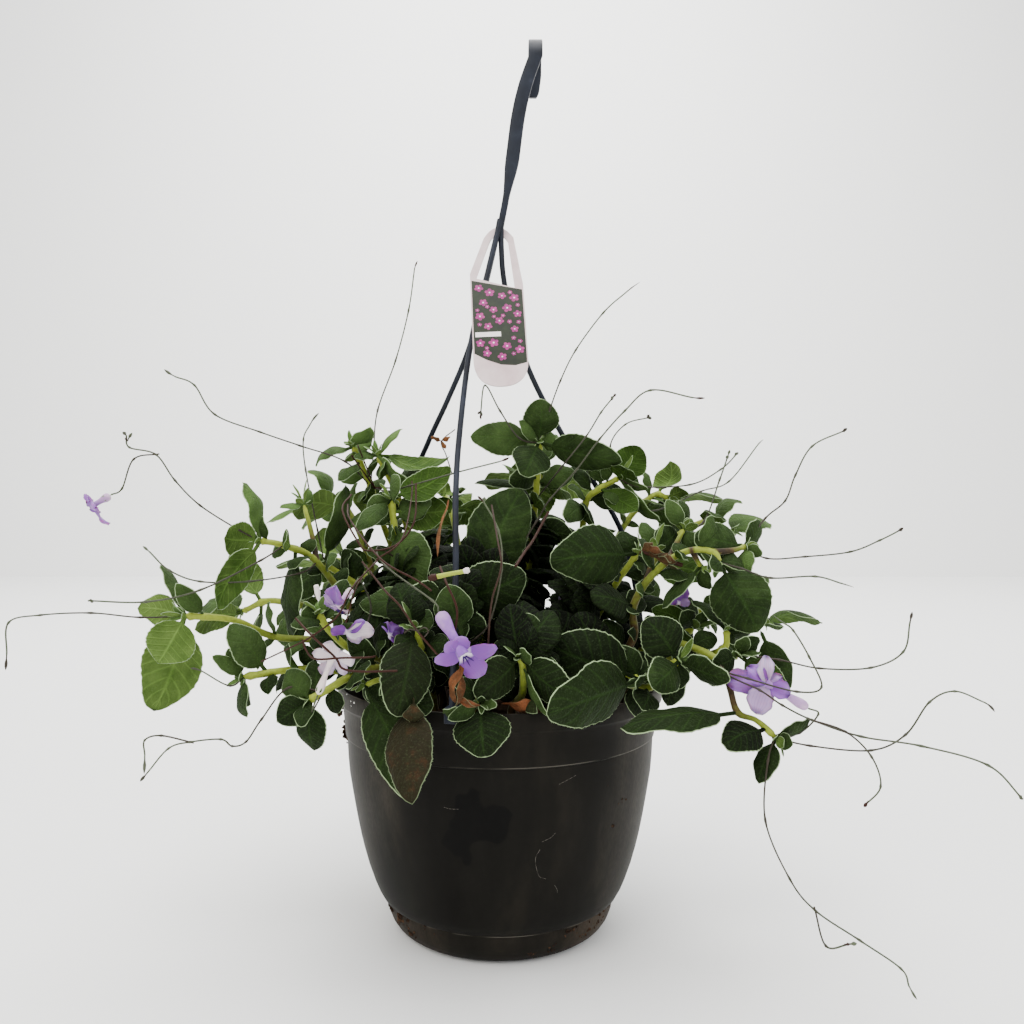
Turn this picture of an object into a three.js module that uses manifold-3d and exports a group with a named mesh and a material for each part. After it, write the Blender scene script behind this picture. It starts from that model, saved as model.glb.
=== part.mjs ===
// Cape primrose in a hanging pot. Millimetres, +Z up. The origin is where the pot's axis meets the surface
// that it stands on, and -Y is the front.
import * as THREE from 'three';
import { mergeVertices } from 'three/addons/utils/BufferGeometryUtils.js';
import Module from 'manifold-3d';

const wasm = await Module();
wasm.setup();

// Driving dimensions of the pot, its saucer and the soil
const RIM_RADIUS = 108;
const RIM_DEPTH = 10.5;
const POT_HEIGHT = 160;
const POT_WALL = 2.2;
const COLLAR_HEIGHT = 128;
const SAUCER_RADIUS = 76;
const SAUCER_HEIGHT = 21.2;
const SAUCER_WALL = 1.8;
const FOOT_RADIUS = 58;
const SOIL_HEIGHT = 142;
const GAP = 0.4;
const ROUND = 32;

// Driving dimensions of the hanger and the care label
const STRAP_WIDTH = 9.5;
const STRAP_THICKNESS = 3.4;
const NECK_WIDTH = 4.6;
const HOOK_RADIUS = 15;
const LEG_RADIUS = 1.9;
const CLIP_SIZE = [7, 9.5, 9];
const LABEL_THICKNESS = 0.9;

// Driving dimensions of the plant
const STEM_FOOT = [112, 140, 156];
const STEM_SIDES = 4;
const STALK_RADIUS = 0.85;
const STALK_SIDES = 3;
const LONGEST_RING_GAP = 45;
const BLOOM_GAP = 0.6;
const PETIOLE_RADIUS = 1.3;
const PETIOLE_SHARE = 0.16;
const BLADE_THICKNESS = 1.8;
const SMALL_LEAF = 25;
const LEAF_GAP = 5;
const OWN_LEAF_GAP = 3;
const SAMPLE_STEP = 5.5;
const SMALLEST_DETAIL = 0.25;

const FRONT = new THREE.Vector3(0, -1, 0);
const UP = new THREE.Vector3(0, 0, 1);

// Solids and meshes

function toSolid(geometry) {
  const bare = geometry.clone();
  bare.deleteAttribute('normal');
  bare.deleteAttribute('uv');
  const merged = mergeVertices(bare, 1e-4);
  const vertProperties = new Float32Array(merged.attributes.position.array);
  const triVerts = new Uint32Array(merged.index.array);
  return new wasm.Manifold(new wasm.Mesh({ numProp: 3, vertProperties, triVerts }));
}

function toGeometry(solid) {
  const mesh = solid.getMesh();
  const geometry = new THREE.BufferGeometry();
  geometry.setAttribute('position', new THREE.BufferAttribute(mesh.vertProperties, 3));
  geometry.setIndex(new THREE.BufferAttribute(mesh.triVerts, 1));
  geometry.computeVertexNormals();
  return geometry;
}

function join(solids) {
  return solids.reduce((whole, piece) => whole.add(piece)).simplify(SMALLEST_DETAIL);
}

function turned(profile, segments = ROUND) {
  const points = profile.map(([radius, z]) => new THREE.Vector2(radius, z));
  return new THREE.LatheGeometry(points, segments).rotateX(Math.PI / 2);
}

function smoothCurve(points) {
  const vectors = points.map((point) => new THREE.Vector3(...point));
  return new THREE.CatmullRomCurve3(vectors, false, 'catmullrom', 0.5);
}

// Rings stand at the curve's own points, and half way where these lie far apart
function ringPoints(curve) {
  const last = curve.points.length - 1;
  const rings = [curve.getPoint(0)];
  for (let i = 1; i <= last; i += 1) {
    if (curve.points[i].distanceTo(curve.points[i - 1]) > LONGEST_RING_GAP) {
      rings.push(curve.getPoint((i - 0.5) / last));
    }
    rings.push(curve.getPoint(i / last));
  }
  return rings;
}

// A round bar through ring points, with a radius that changes from its start to its end
function bar(rings, radiusAt, sides) {
  const steps = rings.length - 1;
  const geometry = new THREE.CylinderGeometry(1, 1, 1, sides, steps);
  const position = geometry.attributes.position;
  const frames = [];
  let normal = new THREE.Vector3(1, 0.2, 0.1);
  rings.forEach((point, i) => {
    const before = rings[Math.max(0, i - 1)];
    const tangent = rings[Math.min(steps, i + 1)].clone().sub(before).normalize();
    normal = normal.clone().addScaledVector(tangent, -normal.dot(tangent)).normalize();
    frames.push({ normal, binormal: new THREE.Vector3().crossVectors(normal, tangent) });
  });
  for (let i = 0; i < position.count; i += 1) {
    const along = position.getY(i) + 0.5;
    const ring = Math.round(along * steps);
    const radius = radiusAt(along);
    const point = rings[ring].clone();
    point.addScaledVector(frames[ring].normal, position.getX(i) * radius);
    point.addScaledVector(frames[ring].binormal, position.getZ(i) * radius);
    position.setXYZ(i, point.x, point.y, point.z);
  }
  return toSolid(geometry);
}

// Pot, saucer and soil

// The wall steps out a little at the collar, and again at the band of the rim
const potOutside = [
  [FOOT_RADIUS + 3.4, SAUCER_WALL + GAP],
  [SAUCER_RADIUS - 2.4, SAUCER_HEIGHT + 0.1],
  [SAUCER_RADIUS + 3.2, SAUCER_HEIGHT + 0.9],
  [84.4, 33],
  [94.8, 70],
  [100.6, 103],
  [102.2, COLLAR_HEIGHT - 1],
  [103.2, COLLAR_HEIGHT],
  [RIM_RADIUS - 3, POT_HEIGHT - RIM_DEPTH - 3],
  [RIM_RADIUS, POT_HEIGHT - RIM_DEPTH],
  [RIM_RADIUS, POT_HEIGHT],
];

function radiusOn(profile, z) {
  for (let i = 1; i < profile.length; i += 1) {
    const [r0, z0] = profile[i - 1];
    const [r1, z1] = profile[i];
    if (z <= z1) {
      return r0 + ((r1 - r0) * Math.max(0, z - z0)) / (z1 - z0);
    }
  }
  return profile.at(-1)[0];
}

function potInside(z) {
  return radiusOn(potOutside, z) - POT_WALL;
}

const innerHeights = [POT_HEIGHT, COLLAR_HEIGHT, 70, 30];
const potFloor = SAUCER_WALL + GAP + POT_WALL;
const floorRadius = potOutside[0][0] - POT_WALL;

function makePot() {
  const inside = innerHeights.map((z) => [potInside(z), z]);
  return turned([[0, SAUCER_WALL + GAP], ...potOutside, ...inside, [floorRadius, potFloor], [0, potFloor]]);
}

// The saucer curves up from a flat foot to a thin lip just under the ledge of the pot
function makeSaucer() {
  return turned([
    [0, 0],
    [FOOT_RADIUS, 0],
    [67.2, 1.6],
    [73, 7.5],
    [SAUCER_RADIUS, SAUCER_HEIGHT],
    [SAUCER_RADIUS - 1.6, SAUCER_HEIGHT],
    [70.8, 8.4],
    [FOOT_RADIUS + 4.5, SAUCER_WALL],
    [0, SAUCER_WALL],
  ]);
}

// The soil heaps up a little round the middle, and each stem stands in a plain hole
function makeSoil(stemFeet) {
  const wall = innerHeights.slice(1).reverse().map((z) => [potInside(z) - GAP, z]);
  const edgeHeight = SOIL_HEIGHT - 2;
  const edgeShare = (edgeHeight - COLLAR_HEIGHT) / (POT_HEIGHT - COLLAR_HEIGHT);
  const edgeRadius = THREE.MathUtils.lerp(potInside(COLLAR_HEIGHT), potInside(POT_HEIGHT), edgeShare) - GAP;
  const bottom = potFloor + GAP;
  const top = [0, SOIL_HEIGHT + 2.2];
  const profile = [[0, bottom], [floorRadius - GAP, bottom], ...wall, [edgeRadius, edgeHeight], top];
  let soil = toSolid(turned(profile));
  const holeFloor = STEM_FOOT[0] - GAP;
  const holeDepth = 44;
  for (const { x, y, radius } of stemFeet) {
    const across = (radius + GAP) / Math.cos(Math.PI / 4);
    const hole = new THREE.CylinderGeometry(across, across, holeDepth, 4).rotateX(Math.PI / 2);
    hole.translate(x, y, holeFloor + holeDepth / 2);
    soil = soil.subtract(toSolid(hole));
  }
  return toGeometry(soil);
}

// Hanger: a flat hook on a narrow neck that forks into three legs, each clipped over the rim

const forkPoint = [0, 0, 466];
const hookTop = [24, 0, 583];
const strapRoute = [forkPoint, [4, 0, 487], [8, 0, 511], [12, 0, 541], [17, 0, 563]];
const legRoutes = {
  front: [[-8, -8, 435], [-19, -25, 382], [-25, -50, 320], [-26, -70, 280], [-25, -85, 239]],
  leftBack: [[-9, 1, 432], [-21, 6, 387], [-37, 20, 352], [-52, 33, 323], [-62, 46, 298], [-73, 64, 230]],
  right: [[3, 1, 427], [18, 5, 374], [43, 12, 326], [63, 18, 297], [86, 24, 257], [97, 27, 210]],
};
const legAzimuths = { front: -14, leftBack: -134, right: 106 };

function rimPoint(azimuth, radius, z) {
  const angle = THREE.MathUtils.degToRad(azimuth);
  return [radius * Math.sin(angle), -radius * Math.cos(angle), z];
}

// The strap is wide across X and thin along Y, and it turns over backwards into the hook
function makeStrap() {
  const steps = 20;
  const straight = smoothCurve([...strapRoute, hookTop]);
  const straightShare = 0.66;
  const tipDrop = 15;
  const arcLength = Math.PI * HOOK_RADIUS;
  const geometry = new THREE.CylinderGeometry(1, 1, 1, 4, steps);
  const position = geometry.attributes.position;
  for (let i = 0; i < position.count; i += 1) {
    const along = position.getY(i) + 0.5;
    const column = Math.round((Math.atan2(position.getX(i), position.getZ(i)) / Math.PI) * 2);
    const isCentre = Math.hypot(position.getX(i), position.getZ(i)) < 0.5;
    const corner = isCentre ? [0, 0] : [[-1, 1], [1, 1], [1, -1], [-1, -1]][(column + 4) % 4];
    let centre;
    let outward = FRONT;
    let halfWidth = STRAP_WIDTH / 2;
    if (along <= straightShare) {
      const share = along / straightShare;
      centre = straight.getPointAt(share);
      const widening = THREE.MathUtils.smoothstep(share, 0.18, 0.42);
      halfWidth = (NECK_WIDTH + (STRAP_WIDTH - NECK_WIDTH) * widening) / 2;
    } else {
      const travelled = ((along - straightShare) / (1 - straightShare)) * (arcLength + tipDrop);
      const angle = Math.min(travelled, arcLength) / HOOK_RADIUS;
      const drop = Math.max(0, travelled - arcLength);
      centre = new THREE.Vector3(...hookTop);
      centre.y += HOOK_RADIUS * (1 - Math.cos(angle));
      centre.z += HOOK_RADIUS * Math.sin(angle) - drop;
      centre.x -= drop * 0.08;
      outward = new THREE.Vector3(0, -Math.cos(angle), Math.sin(angle));
      halfWidth -= (drop / tipDrop) * 0.8;
    }
    centre.x += corner[0] * halfWidth;
    centre.addScaledVector(outward, (corner[1] * STRAP_THICKNESS) / 2);
    position.setXYZ(i, centre.x, centre.y, centre.z);
  }
  return toSolid(geometry);
}

function makeClip(azimuth) {
  const [wide, deep, high] = CLIP_SIZE;
  const middle = RIM_RADIUS - POT_WALL / 2;
  const block = new THREE.BoxGeometry(wide, deep, high);
  block.rotateZ(THREE.MathUtils.degToRad(azimuth));
  block.translate(...rimPoint(azimuth, middle, POT_HEIGHT + 3.4 - high / 2));
  const slot = turned([
    [middle - 2.6, POT_HEIGHT - 12],
    [RIM_RADIUS + GAP, POT_HEIGHT - 12],
    [RIM_RADIUS + GAP, POT_HEIGHT + GAP],
    [middle - 2.6, POT_HEIGHT + GAP],
    [middle - 2.6, POT_HEIGHT - 12],
  ]);
  return toSolid(block).subtract(toSolid(slot));
}

function legCurve(name) {
  const foot = rimPoint(legAzimuths[name], RIM_RADIUS - POT_WALL / 2, POT_HEIGHT + 2.4);
  return smoothCurve([[0, 0, 471], ...legRoutes[name], foot]);
}

function makeHanger() {
  const legs = Object.keys(legRoutes).map((name) => bar(ringPoints(legCurve(name)), () => LEG_RADIUS, 5));
  const clips = Object.values(legAzimuths).map(makeClip);
  return toGeometry(join([makeStrap(), ...legs, ...clips]));
}

// Care label: a thin tag with a round lower end, hung by its loop round the neck of the hanger
function makeLabel() {
  const halfWidth = 17.3;
  const loopMiddle = 3;
  const shape = new THREE.Shape();
  shape.moveTo(-halfWidth, 22);
  shape.lineTo(-halfWidth, -46);
  shape.quadraticCurveTo(-halfWidth, -67, 0, -67);
  shape.quadraticCurveTo(halfWidth, -67, halfWidth, -46);
  shape.lineTo(halfWidth, 12);
  shape.lineTo(loopMiddle + 10, 52);
  shape.quadraticCurveTo(loopMiddle, 70, loopMiddle - 10, 52);
  const loop = new THREE.Path();
  loop.moveTo(-13.5, 18);
  loop.lineTo(12, 9);
  loop.lineTo(loopMiddle + 6.5, 48);
  loop.quadraticCurveTo(loopMiddle, 62, loopMiddle - 6.5, 48);
  shape.holes.push(loop);
  return new THREE.ExtrudeGeometry(shape, { depth: LABEL_THICKNESS, bevelEnabled: false, curveSegments: 5 });
}

const labelPlace = { x: -1.6, y: -19.6, z: 412, lean: 65, roll: 3 };

// Leafy shoots. Each has the place of its root in the soil, its stems, its leaves and its flower stalks. A
// stem after the first one starts on a point of the first one. A leaf gives the stem that it grows on, the
// place along that stem's points, its tip, its width, how far it is turned from facing the front, and its
// arch.

const shoots = {
  left_reach: {
    root: [-60, -38],
    stems: [[[-95, -48, 189], [-138, -56, 196], [-160, -69, 208], [-184, -82, 212]]],
    leaves: [
      [0, 3, [-198, -90, 158], 36, 180, 6],
      [0, 3, [-190, -108, 188], 28, 160, 6],
      [0, 3, [-214, -78, 216], 19, 180, 3],
      [0, 3, [-202, -72, 242], 14, 80, 2],
      [0, 2.6, [-186, -76, 232], 12, 20, 2],
    ],
    stalks: [
      [[-184, -82, 212], [-207, -90, 212], [-234, -94, 215], [-262, -96, 214], [-279, -98, 210],
       [-279, -100, 192]],
    ],
  },
  left_upper: {
    root: [-72, -8],
    stems: [
      [[-92, -20, 200], [-117, -35, 241], [-136, -45, 252], [-149, -50, 255]],
      [[-117, -35, 241], [-121, -31, 258], [-127, -28, 278]],
    ],
    leaves: [
      [0, 1.6, [-132, -58, 193], 27, 50, 5],
      [0, 3, [-166, -68, 257], 24, 180, 4],
      [0, 3, [-157, -46, 292], 20, 78, 4],
      [0, 3, [-164, -62, 216], 22, 130, 4],
    ],
    stalks: [
      [[-149, -50, 255], [-160, -58, 262], [-181, -66, 277], [-194, -72, 292], [-203, -78, 307],
       [-217, -82, 311],
        [-218, -84, 318]],
      [[-117, -35, 241], [-124, -50, 235], [-151, -66, 231], [-176, -80, 232], [-192, -86, 239],
       [-202, -90, 250]],
      [[-136, -45, 252], [-143, -70, 244], [-172, -92, 228], [-200, -100, 222], [-231, -104, 223]],
    ],
  },
  left_blade: {
    root: [-64, 6],
    stems: [[[-82, 7, 196], [-97, 5, 221], [-119, -2, 238]]],
    leaves: [
      [0, 2, [-107, 12, 292], 28, 72, 6],
      [0, 2, [-143, -10, 214], 24, 30, 3],
      [0, 1, [-108, 10, 248], 16, 20, 3],
      [0, 1.2, [-122, 14, 243], 12, 60, 2],
    ],
    stalks: [[[-119, -2, 238], [-122, -10, 261], [-129, -14, 301], [-130, -16, 321], [-125, -18, 331]]],
  },
  left_top: {
    root: [-45, 48],
    stems: [[[-52, 46, 190], [-80, 41, 250], [-93, 32, 291], [-104, 22, 319]]],
    leaves: [
      [0, 3, [-90, 12, 332], 18, 60, 4],
      [0, 3, [-131, 20, 307], 20, 65, 5],
      [0, 2.6, [-110, 10, 294], 14, 40, 2],
      [0, 2, [-96, 12, 271], 20, 160, 3],
    ],
    stalks: [
      [[-93, 32, 291], [-90, 26, 318], [-87, 25, 345], [-75, 30, 381], [-66, 32, 417], [-62, 35, 448]],
      [[-93, 32, 291], [-108, 14, 308], [-136, 0, 318], [-159, -15, 326], [-184, -30, 336], [-195, -36, 354],
        [-206, -40, 359]],
      [[-93, 32, 291], [-75, -10, 287], [-58, -30, 290], [-28, -38, 298], [0, -40, 305]],
    ],
  },
  left_crest: {
    root: [-30, 25],
    stems: [[[-42, 26, 190], [-62, 24, 245], [-71, 20, 281], [-85, 12, 312]]],
    leaves: [
      [0, 3, [-34, 4, 308], 26, 115, 8],
      [0, 3, [-63, -4, 290], 22, 70, 3],
    ],
    stalks: [],
  },
  left_middle: {
    root: [-38, -22],
    stems: [[[-52, -22, 195], [-66, -20, 241], [-72, -16, 281]]],
    leaves: [
      [0, 2, [-32, -8, 302], 24, 150, 4],
      [0, 1.8, [-35, -24, 273], 28, 160, 4],
      [0, 1.6, [-49, -42, 223], 32, 20, 5],
      [0, 2, [-88, -18, 276], 13, 0, 2],
      [0, 2, [-90, -24, 262], 14, 20, 2],
    ],
    stalks: [],
  },
  crown: {
    root: [8, 12],
    stems: [[[14, 12, 190], [20, 10, 240], [24, 5, 281], [26, -2, 320]]],
    leaves: [
      [0, 3, [-20, -8, 324], 24, 10, 4],
      [0, 3, [27, 16, 348], 25, 5, 3],
      [0, 3, [40, -10, 322], 14, 0, 2],
      [0, 3, [16, -34, 297], 27, 0, 3],
      [0, 3, [80, -10, 305], 25, 30, 5],
      [0, 2.4, [6, -22, 292], 15, 10, 2],
      [0, 2.2, [-17, -12, 293], 12, 60, 2],
      [0, 1.5, [48, -20, 258], 19, 10, 3],
    ],
    stalks: [
      [[26, -2, 320], [33, -12, 341], [40, -14, 360], [50, -16, 380], [68, -20, 404], [84, -22, 418]],
      [[26, -2, 320], [13, -12, 322], [0, -14, 340], [-10, -14, 357], [-13, -14, 338]],
      [[24, 5, 281], [40, -22, 302], [56, -24, 322], [66, -24, 338], [74, -24, 348]],
    ],
  },
  right_top: {
    root: [48, 18],
    stems: [[[52, 17, 190], [56, 12, 240], [58, 5, 278], [68, 0, 289], [80, -3, 296]]],
    leaves: [
      [0, 4, [95, -2, 317], 24, 180, 3],
      [0, 4, [104, -18, 266], 14, 65, 3],
      [0, 3, [90, -28, 272], 18, 170, 3],
      [0, 2, [42, -24, 268], 17, 0, 3],
      [0, 2.6, [47, -2, 304], 12, 30, 2],
    ],
    stalks: [
      [[80, -3, 296], [73, -14, 316], [83, -14, 331], [100, -14, 336]],
      [[80, -3, 296], [92, 2, 280], [106, 5, 274], [137, 6, 287], [157, 8, 294], [178, 10, 320]],
      [[80, -3, 296], [92, -12, 290], [125, -18, 291], [145, -20, 301], [156, -22, 312]],
    ],
  },
  centre: {
    root: [-8, -40],
    stems: [[[-10, -44, 185], [-14, -50, 226]]],
    leaves: [
      [0, 1, [15, -30, 289], 40, 8, 6],
      [0, 1, [-2, -8, 281], 18, 30, 3],
    ],
    stalks: [
      [[-14, -50, 226], [4, -40, 238], [23, -36, 266], [32, -40, 281], [48, -46, 299], [62, -54, 318],
       [77, -60, 335],
        [92, -64, 347], [117, -68, 342]],
    ],
  },
  centre_low: {
    root: [-22, -58],
    stems: [[[-26, -64, 190], [-30, -62, 217]]],
    leaves: [
      [0, 1, [16, -72, 236], 35, 0, 5],
      [0, 0.6, [-8, -82, 205], 19, 0, 3],
      [0, 1, [-58, -78, 219], 29, 0, 4],
      [0, 1, [-86, -62, 219], 24, 35, 5],
    ],
    stalks: [[[-26, -64, 190], [-12, -84, 200], [-4, -92, 212], [2, -94, 240], [0, -84, 262],
               [-10, -78, 281]]],
  },
  front_fold: {
    root: [-40, -60],
    stems: [[[-44, -72, 185], [-49, -90, 205]]],
    leaves: [
      [0, 1, [-54, -124, 163], 30, -15, 4],
      [0, 0.7, [-66, -100, 171], 12, 0, 2],
    ],
    stalks: [],
  },
  front_rosette: {
    root: [8, -74],
    stems: [[[14, -90, 168], [14, -97, 185], [12, -98, 190]]],
    leaves: [
      [0, 2, [18, -92, 215], 26, 0, 3],
      [0, 2, [-11, -124, 171], 24, -20, 4],
      [0, 2, [45, -116, 169], 24, 20, 4],
      [0, 2, [-3, -104, 197], 13, 0, 2],
    ],
    stalks: [],
  },
  right_big: {
    root: [52, -30],
    stems: [[[58, -34, 195], [72, -42, 225], [86, -50, 247]]],
    leaves: [
      [0, 2, [32, -76, 244], 37, 5, 6],
      [0, 2, [96, -56, 238], 12, 0, 1],
    ],
    stalks: [],
  },
  front_right: {
    root: [46, -60],
    stems: [[[52, -66, 175], [70, -76, 178], [83, -84, 175]]],
    leaves: [
      [0, 2, [29, -92, 196], 38, 0, 5],
      [0, 2, [26, -122, 166], 36, -10, 5],
      [0, 2, [71, -98, 194], 15, 0, 2],
      [0, 2, [80, -104, 178], 12, 10, 2],
    ],
    stalks: [],
  },
  front_hang: {
    root: [-14, -80],
    stems: [[[-12, -92, 169], [-10, -107, 166]]],
    leaves: [
      [0, 1, [-7, -126, 141], 32, 0, 4],
    ],
    stalks: [],
  },
  front_left_hang: {
    root: [-52, -76],
    stems: [
      [[-52, -92, 172], [-51, -104, 168]],
      [[-52, -92, 172], [-66, -96, 177], [-76, -96, 174]],
    ],
    leaves: [
      [1, 2, [-48, -126, 119], 28, -15, 6],
      [0, 1, [-45, -136, 126], 28, 15, 5],
    ],
    stalks: [],
  },
  left_low: {
    root: [-66, -56],
    stems: [[[-68, -78, 180], [-84, -96, 179], [-99, -102, 171], [-106, -104, 167]]],
    leaves: [
      [0, 3, [-121, -98, 183], 18, 0, 3],
      [0, 3, [-122, -114, 157], 18, 0, 3],
      [0, 3, [-105, -112, 137], 20, 20, 4],
      [0, 2.6, [-107, -92, 188], 13, 30, 2],
    ],
    stalks: [
      [[-99, -102, 171], [-118, -104, 174], [-131, -112, 158], [-138, -117, 147], [-145, -119, 145],
        [-151, -120, 149], [-167, -122, 148], [-178, -124, 145], [-189, -126, 132]],
      [[-167, -122, 148], [-182, -124, 152], [-190, -126, 150], [-190, -126, 142]],
    ],
  },
  left_middle_low: {
    root: [-78, -34],
    stems: [[[-98, -42, 171], [-121, -60, 177], [-152, -76, 175]]],
    leaves: [
      [0, 2, [-148, -86, 153], 18, 50, 3],
      [0, 2, [-158, -70, 152], 12, 80, 2],
      [0, 1.6, [-158, -72, 207], 22, 40, 3],
      [0, 2, [-161, -88, 192], 12, 40, 2],
    ],
    stalks: [[[-152, -76, 175], [-156, -88, 172], [-171, -94, 182]]],
  },
  left_rosette: {
    root: [-54, -44],
    stems: [[[-66, -62, 180], [-86, -82, 192], [-98, -88, 204], [-104, -90, 214]]],
    leaves: [
      [0, 3, [-113, -96, 213], 12, 0, 1],
      [0, 3, [-111, -98, 203], 13, 0, 1],
      [0, 2.6, [-91, -82, 233], 14, 10, 2],
    ],
    stalks: [],
  },
  right_arch: {
    root: [62, -46],
    stems: [
      [[72, -50, 175], [83, -55, 196], [82, -58, 213], [89, -62, 229], [102, -66, 243], [116, -70, 250],
        [128, -74, 249], [131, -76, 243]],
      [[128, -74, 249], [142, -68, 250], [150, -62, 252]],
      [[102, -66, 243], [110, -54, 254], [115, -48, 262]],
      [[89, -62, 229], [94, -54, 240], [97, -50, 249]],
      [[116, -70, 250], [122, -66, 240]],
    ],
    leaves: [
      [0, 7, [151, -88, 203], 36, 5, 5],
      [1, 2, [117, -72, 258], 24, 15, 3],
      [1, 2, [162, -54, 268], 16, 35, 2],
      [1, 2, [149, -72, 236], 12, 40, 2],
      [2, 2, [105, -46, 281], 12, 10, 2],
      [2, 2, [123, -54, 248], 12, 10, 2],
      [3, 2, [90, -42, 267], 14, 30, 2],
      [3, 2, [112, -42, 262], 20, 10, 2],
      [4, 1, [97, -74, 216], 12, 60, 2],
    ],
    stalks: [
      [[150, -62, 252], [164, -56, 269], [177, -54, 280], [184, -52, 296], [195, -50, 314], [216, -48, 324]],
      [[150, -62, 252], [162, -66, 245], [185, -67, 246], [212, -68, 249], [229, -70, 256], [242, -72, 263]],
      [[131, -76, 243], [142, -86, 240], [157, -92, 235], [182, -94, 236], [197, -96, 232]],
      [[115, -48, 262], [130, -38, 267], [142, -30, 294], [148, -28, 310]],
    ],
  },
  right_middle: {
    root: [60, -62],
    stems: [[[72, -72, 170], [88, -88, 171], [97, -94, 184], [103, -98, 188]]],
    leaves: [
      [0, 3, [84, -96, 212], 26, 5, 4],
      [0, 3, [84, -112, 177], 22, 10, 3],
      [0, 3, [102, -116, 172], 13, 10, 2],
      [0, 3, [124, -116, 184], 18, 30, 2],
      [0, 3, [97, -102, 160], 15, 30, 2],
    ],
    stalks: [],
  },
  right_low: {
    root: [78, -34],
    stems: [
      [[92, -48, 180], [103, -66, 194], [118, -84, 192], [128, -94, 188], [136, -100, 192]],
      [[128, -94, 188], [131, -102, 174], [134, -108, 161], [144, -110, 157], [154, -112, 148]],
    ],
    leaves: [
      [0, 4, [121, -114, 187], 15, 0, 2],
      [0, 4, [148, -102, 202], 12, 20, 1],
      [0, 4, [163, -108, 172], 24, 140, 6],
      [1, 2, [66, -128, 157], 26, 72, 5],
      [1, 3.5, [122, -126, 147], 22, 45, 3],
      [1, 4, [174, -112, 158], 15, 45, 2],
      [1, 4, [142, -120, 125], 15, 50, 3],
    ],
    stalks: [
      [[136, -100, 192], [158, -106, 190], [179, -110, 186], [206, -114, 187], [223, -116, 196],
       [226, -118, 213]],
      [[128, -94, 188], [124, -116, 186], [134, -130, 184], [160, -130, 177], [174, -128, 179],
       [168, -126, 195],
        [160, -124, 209], [155, -122, 213]],
      [[128, -94, 188], [126, -118, 184], [140, -131, 178], [152, -131, 170], [168, -131, 162],
       [193, -134, 154],
        [223, -138, 150], [256, -142, 141], [273, -144, 124]],
      [[168, -131, 162], [184, -136, 157], [196, -140, 145], [200, -142, 130], [191, -143, 120]],
      [[154, -112, 148], [171, -118, 145], [202, -124, 144], [220, -126, 153], [232, -128, 171],
       [245, -129, 177],
        [261, -130, 171]],
      [[154, -112, 148], [147, -122, 138], [145, -124, 106], [157, -128, 76], [170, -130, 60],
       [193, -132, 45],
        [214, -134, 31], [218, -135, 22]],
      [[170, -130, 60], [175, -132, 42], [187, -134, 44]],
    ],
  },
  right_back: {
    root: [84, -14],
    stems: [[[96, -30, 178], [118, -62, 184], [133, -78, 192], [135, -78, 203]]],
    leaves: [
      [0, 3, [118, -72, 221], 16, 60, 3],
      [0, 3, [150, -78, 199], 14, 65, 3],
    ],
    stalks: [],
  },
  right_inner: {
    root: [72, -16],
    stems: [[[84, -26, 180], [104, -48, 190], [119, -60, 202]]],
    leaves: [
      [0, 2, [94, -56, 214], 15, 160, 2],
      [0, 2, [110, -70, 213], 13, 10, 2],
      [0, 2, [112, -46, 222], 18, 20, 2],
    ],
    stalks: [],
  },
};

// Shoots of the same habit fill the sides and the back: azimuth from the front towards the right, the
// distance of the root from the pot's axis, the reach of the tip, its height, and the number of leaf pairs
const sideShoots = {
  side_b: [88, 66, 150, 268, 3],
  side_c: [104, 44, 186, 206, 3],
  side_d: [124, 68, 140, 286, 3],
  side_e: [142, 48, 178, 232, 4],
  side_g: [172, 40, 112, 306, 3],
  side_h: [187, 62, 176, 240, 4],
  side_i: [206, 44, 146, 284, 3],
  side_j: [221, 84, 150, 196, 3],
  side_k: [236, 66, 184, 236, 3],
  side_l: [254, 76, 140, 284, 3],
  side_m: [272, 56, 178, 214, 3],
};

// Flowers: the shoot and the route of the stalk that carries each one, the stalk's end, the flower's throat,
// the way that it faces, and its petal length
const blooms = {
  bloom_front: {
    shoot: 'left_middle',
    route: [[-66, -20, 241], [-76, -48, 251], [-66, -88, 242]],
    base: [-32, -122, 219],
    throat: [-18, -130, 197],
    face: [0.15, -0.9, -0.3],
    petal: 19,
  },
  bloom_right: {
    shoot: 'right_low',
    route: [[154, -112, 148], [168, -110, 150]],
    base: [171, -116, 165],
    throat: [146, -122, 180],
    face: [-0.3, -0.85, 0.35],
    petal: 19,
  },
  bloom_left_low: {
    shoot: 'left_low',
    route: [[-99, -102, 171], [-103, -111, 162]],
    base: [-99, -116, 172],
    throat: [-92, -112, 192],
    face: [0.1, 0.85, 0.45],
    petal: 15,
  },
  bloom_left_high: {
    shoot: 'left_rosette',
    route: [[-86, -82, 192], [-76, -76, 214]],
    base: [-84, -92, 229],
    throat: [-92, -102, 219],
    face: [-0.4, -0.5, -0.7],
    petal: 14,
  },
  bloom_far_left: {
    shoot: 'left_upper',
    route: [[-203, -78, 307], [-214, -83, 304]],
    base: [-225, -88, 283],
    throat: [-236, -90, 276],
    face: [-0.7, -0.3, -0.5],
    petal: 13,
  },
};

// Seeded draws, so that the plant is the same each time
function makeDraw(seed) {
  let state = seed;
  return (low, high) => {
    state = (state * 16807) % 2147483647;
    return low + (high - low) * (state / 2147483647);
  };
}

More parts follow.
